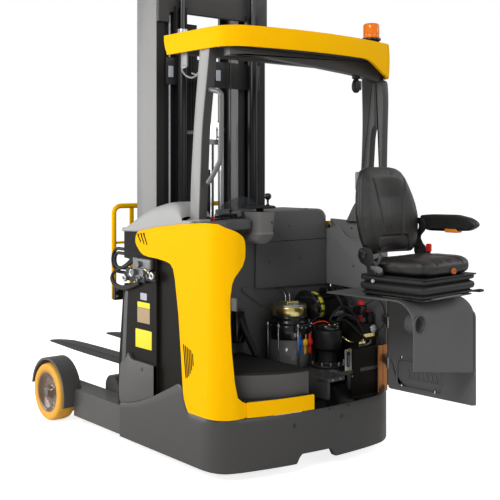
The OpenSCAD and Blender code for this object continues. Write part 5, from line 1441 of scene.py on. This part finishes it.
for s, tag in ((-1, "left"), (1, "right")):
    v, f = forkShape(s * 227)
    p = makeMesh("fork_bar_" + tag, v, f, forkMat, "fork_" + tag, bevel=1.2, sharp=28)
    boxy("forkHook_" + tag, (s * 227 - 52, 1186.6, 744.5), (s * 227 + 52, 1212, 817.5), 4, forkMat, "fork_" + tag)
    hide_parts("fork_" + tag)
print("load end made")
# ---------------------------------------------------------------- camera and light
scene = bpy.context.scene
cam = bpy.data.objects.new("cam", bpy.data.cameras.new("cam"))
scene.collection.objects.link(cam)
scene.camera = cam
cam.data.sensor_width = 36
cam.data.lens = 65.88
cam.data.shift_y = -0.156
cam.data.clip_end = 60
cam.location = (-3.282, -3.430 - midY / 1000, 1.486)
cam.rotation_euler = (math.radians(90), 0, math.radians(-39.9))


def lamp(name, place, aim, size, watts, colour=(1, 1, 1)):
    ob = bpy.data.objects.new(name, bpy.data.lights.new(name, "AREA"))
    ob.data.shape = "DISK"
    ob.data.size = size
    ob.data.energy = watts
    ob.data.color = colour
    ob.location = place
    ob.rotation_euler = (Vector(aim) - Vector(place)).to_track_quat("-Z", "Y").to_euler()
    scene.collection.objects.link(ob)
    return ob


lamp("key", (-5.5, -3.2, 4.8), (0, 0, 1.0), 2.6, 215)
lamp("front", (0.5, -6.5, 3.0), (0, 0, 0.9), 3.2, 62)
lamp("fill", (5.5, -3.0, 3.5), (0, 0, 1.0), 3.5, 48)
lamp("side", (-4.9, 4.0, 2.3), (-0.2, 0, 1.2), 4.4, 250)

world = bpy.data.worlds.new("white")
scene.world = world
world.use_nodes = True
t = world.node_tree
bg = t.nodes["Background"]
bg.inputs[0].default_value = (1, 1, 1, 1)
path = t.nodes.new("ShaderNodeLightPath")
seen = Sock(t, path.outputs["Is Camera Ray"]).math("MAXIMUM", Sock(t, path.outputs["Is Transmission Ray"]))
glow = seen * 0.68 + 0.32 + Sock(t, path.outputs["Is Glossy Ray"]) * 0.12
t.links.new(glow.out, bg.inputs[1])
scene.view_settings.view_transform = "Standard"

floorMat = Shade("floorPale")
floorMat.put(Base_Color=(0.93, 0.93, 0.93), Roughness=0.7 + (floorMat.noise(3.0) - 0.5) * 0.05)
shine = floorMat.make("Emission", {}, {"Color": (1, 1, 1), "Strength": 0.80})
toEye = floorMat.make("LightPath", out="Is Camera Ray")
blendOut = floorMat.make("AddShader", {}, {0: floorMat.make("MixShader", {}, {"Fac": toEye, 2: shine})})
feed(floorMat.tree, Sock(floorMat.tree, floorMat.bsdf.outputs[0]), blendOut.out.node.inputs[1])
floorMat.tree.links.new(blendOut.out, floorMat.tree.nodes["Material Output"].inputs[0])
me = bpy.data.meshes.new("floor")
me.from_pydata([(-30, -30, -0.001), (30, -30, -0.001), (30, 30, -0.001), (-30, 30, -0.001)], [], [(0, 1, 2, 3)])
floor = bpy.data.objects.new("floor", me)
scene.collection.objects.link(floor)
me.materials.append(floorMat.mat)
print("camera and light set")
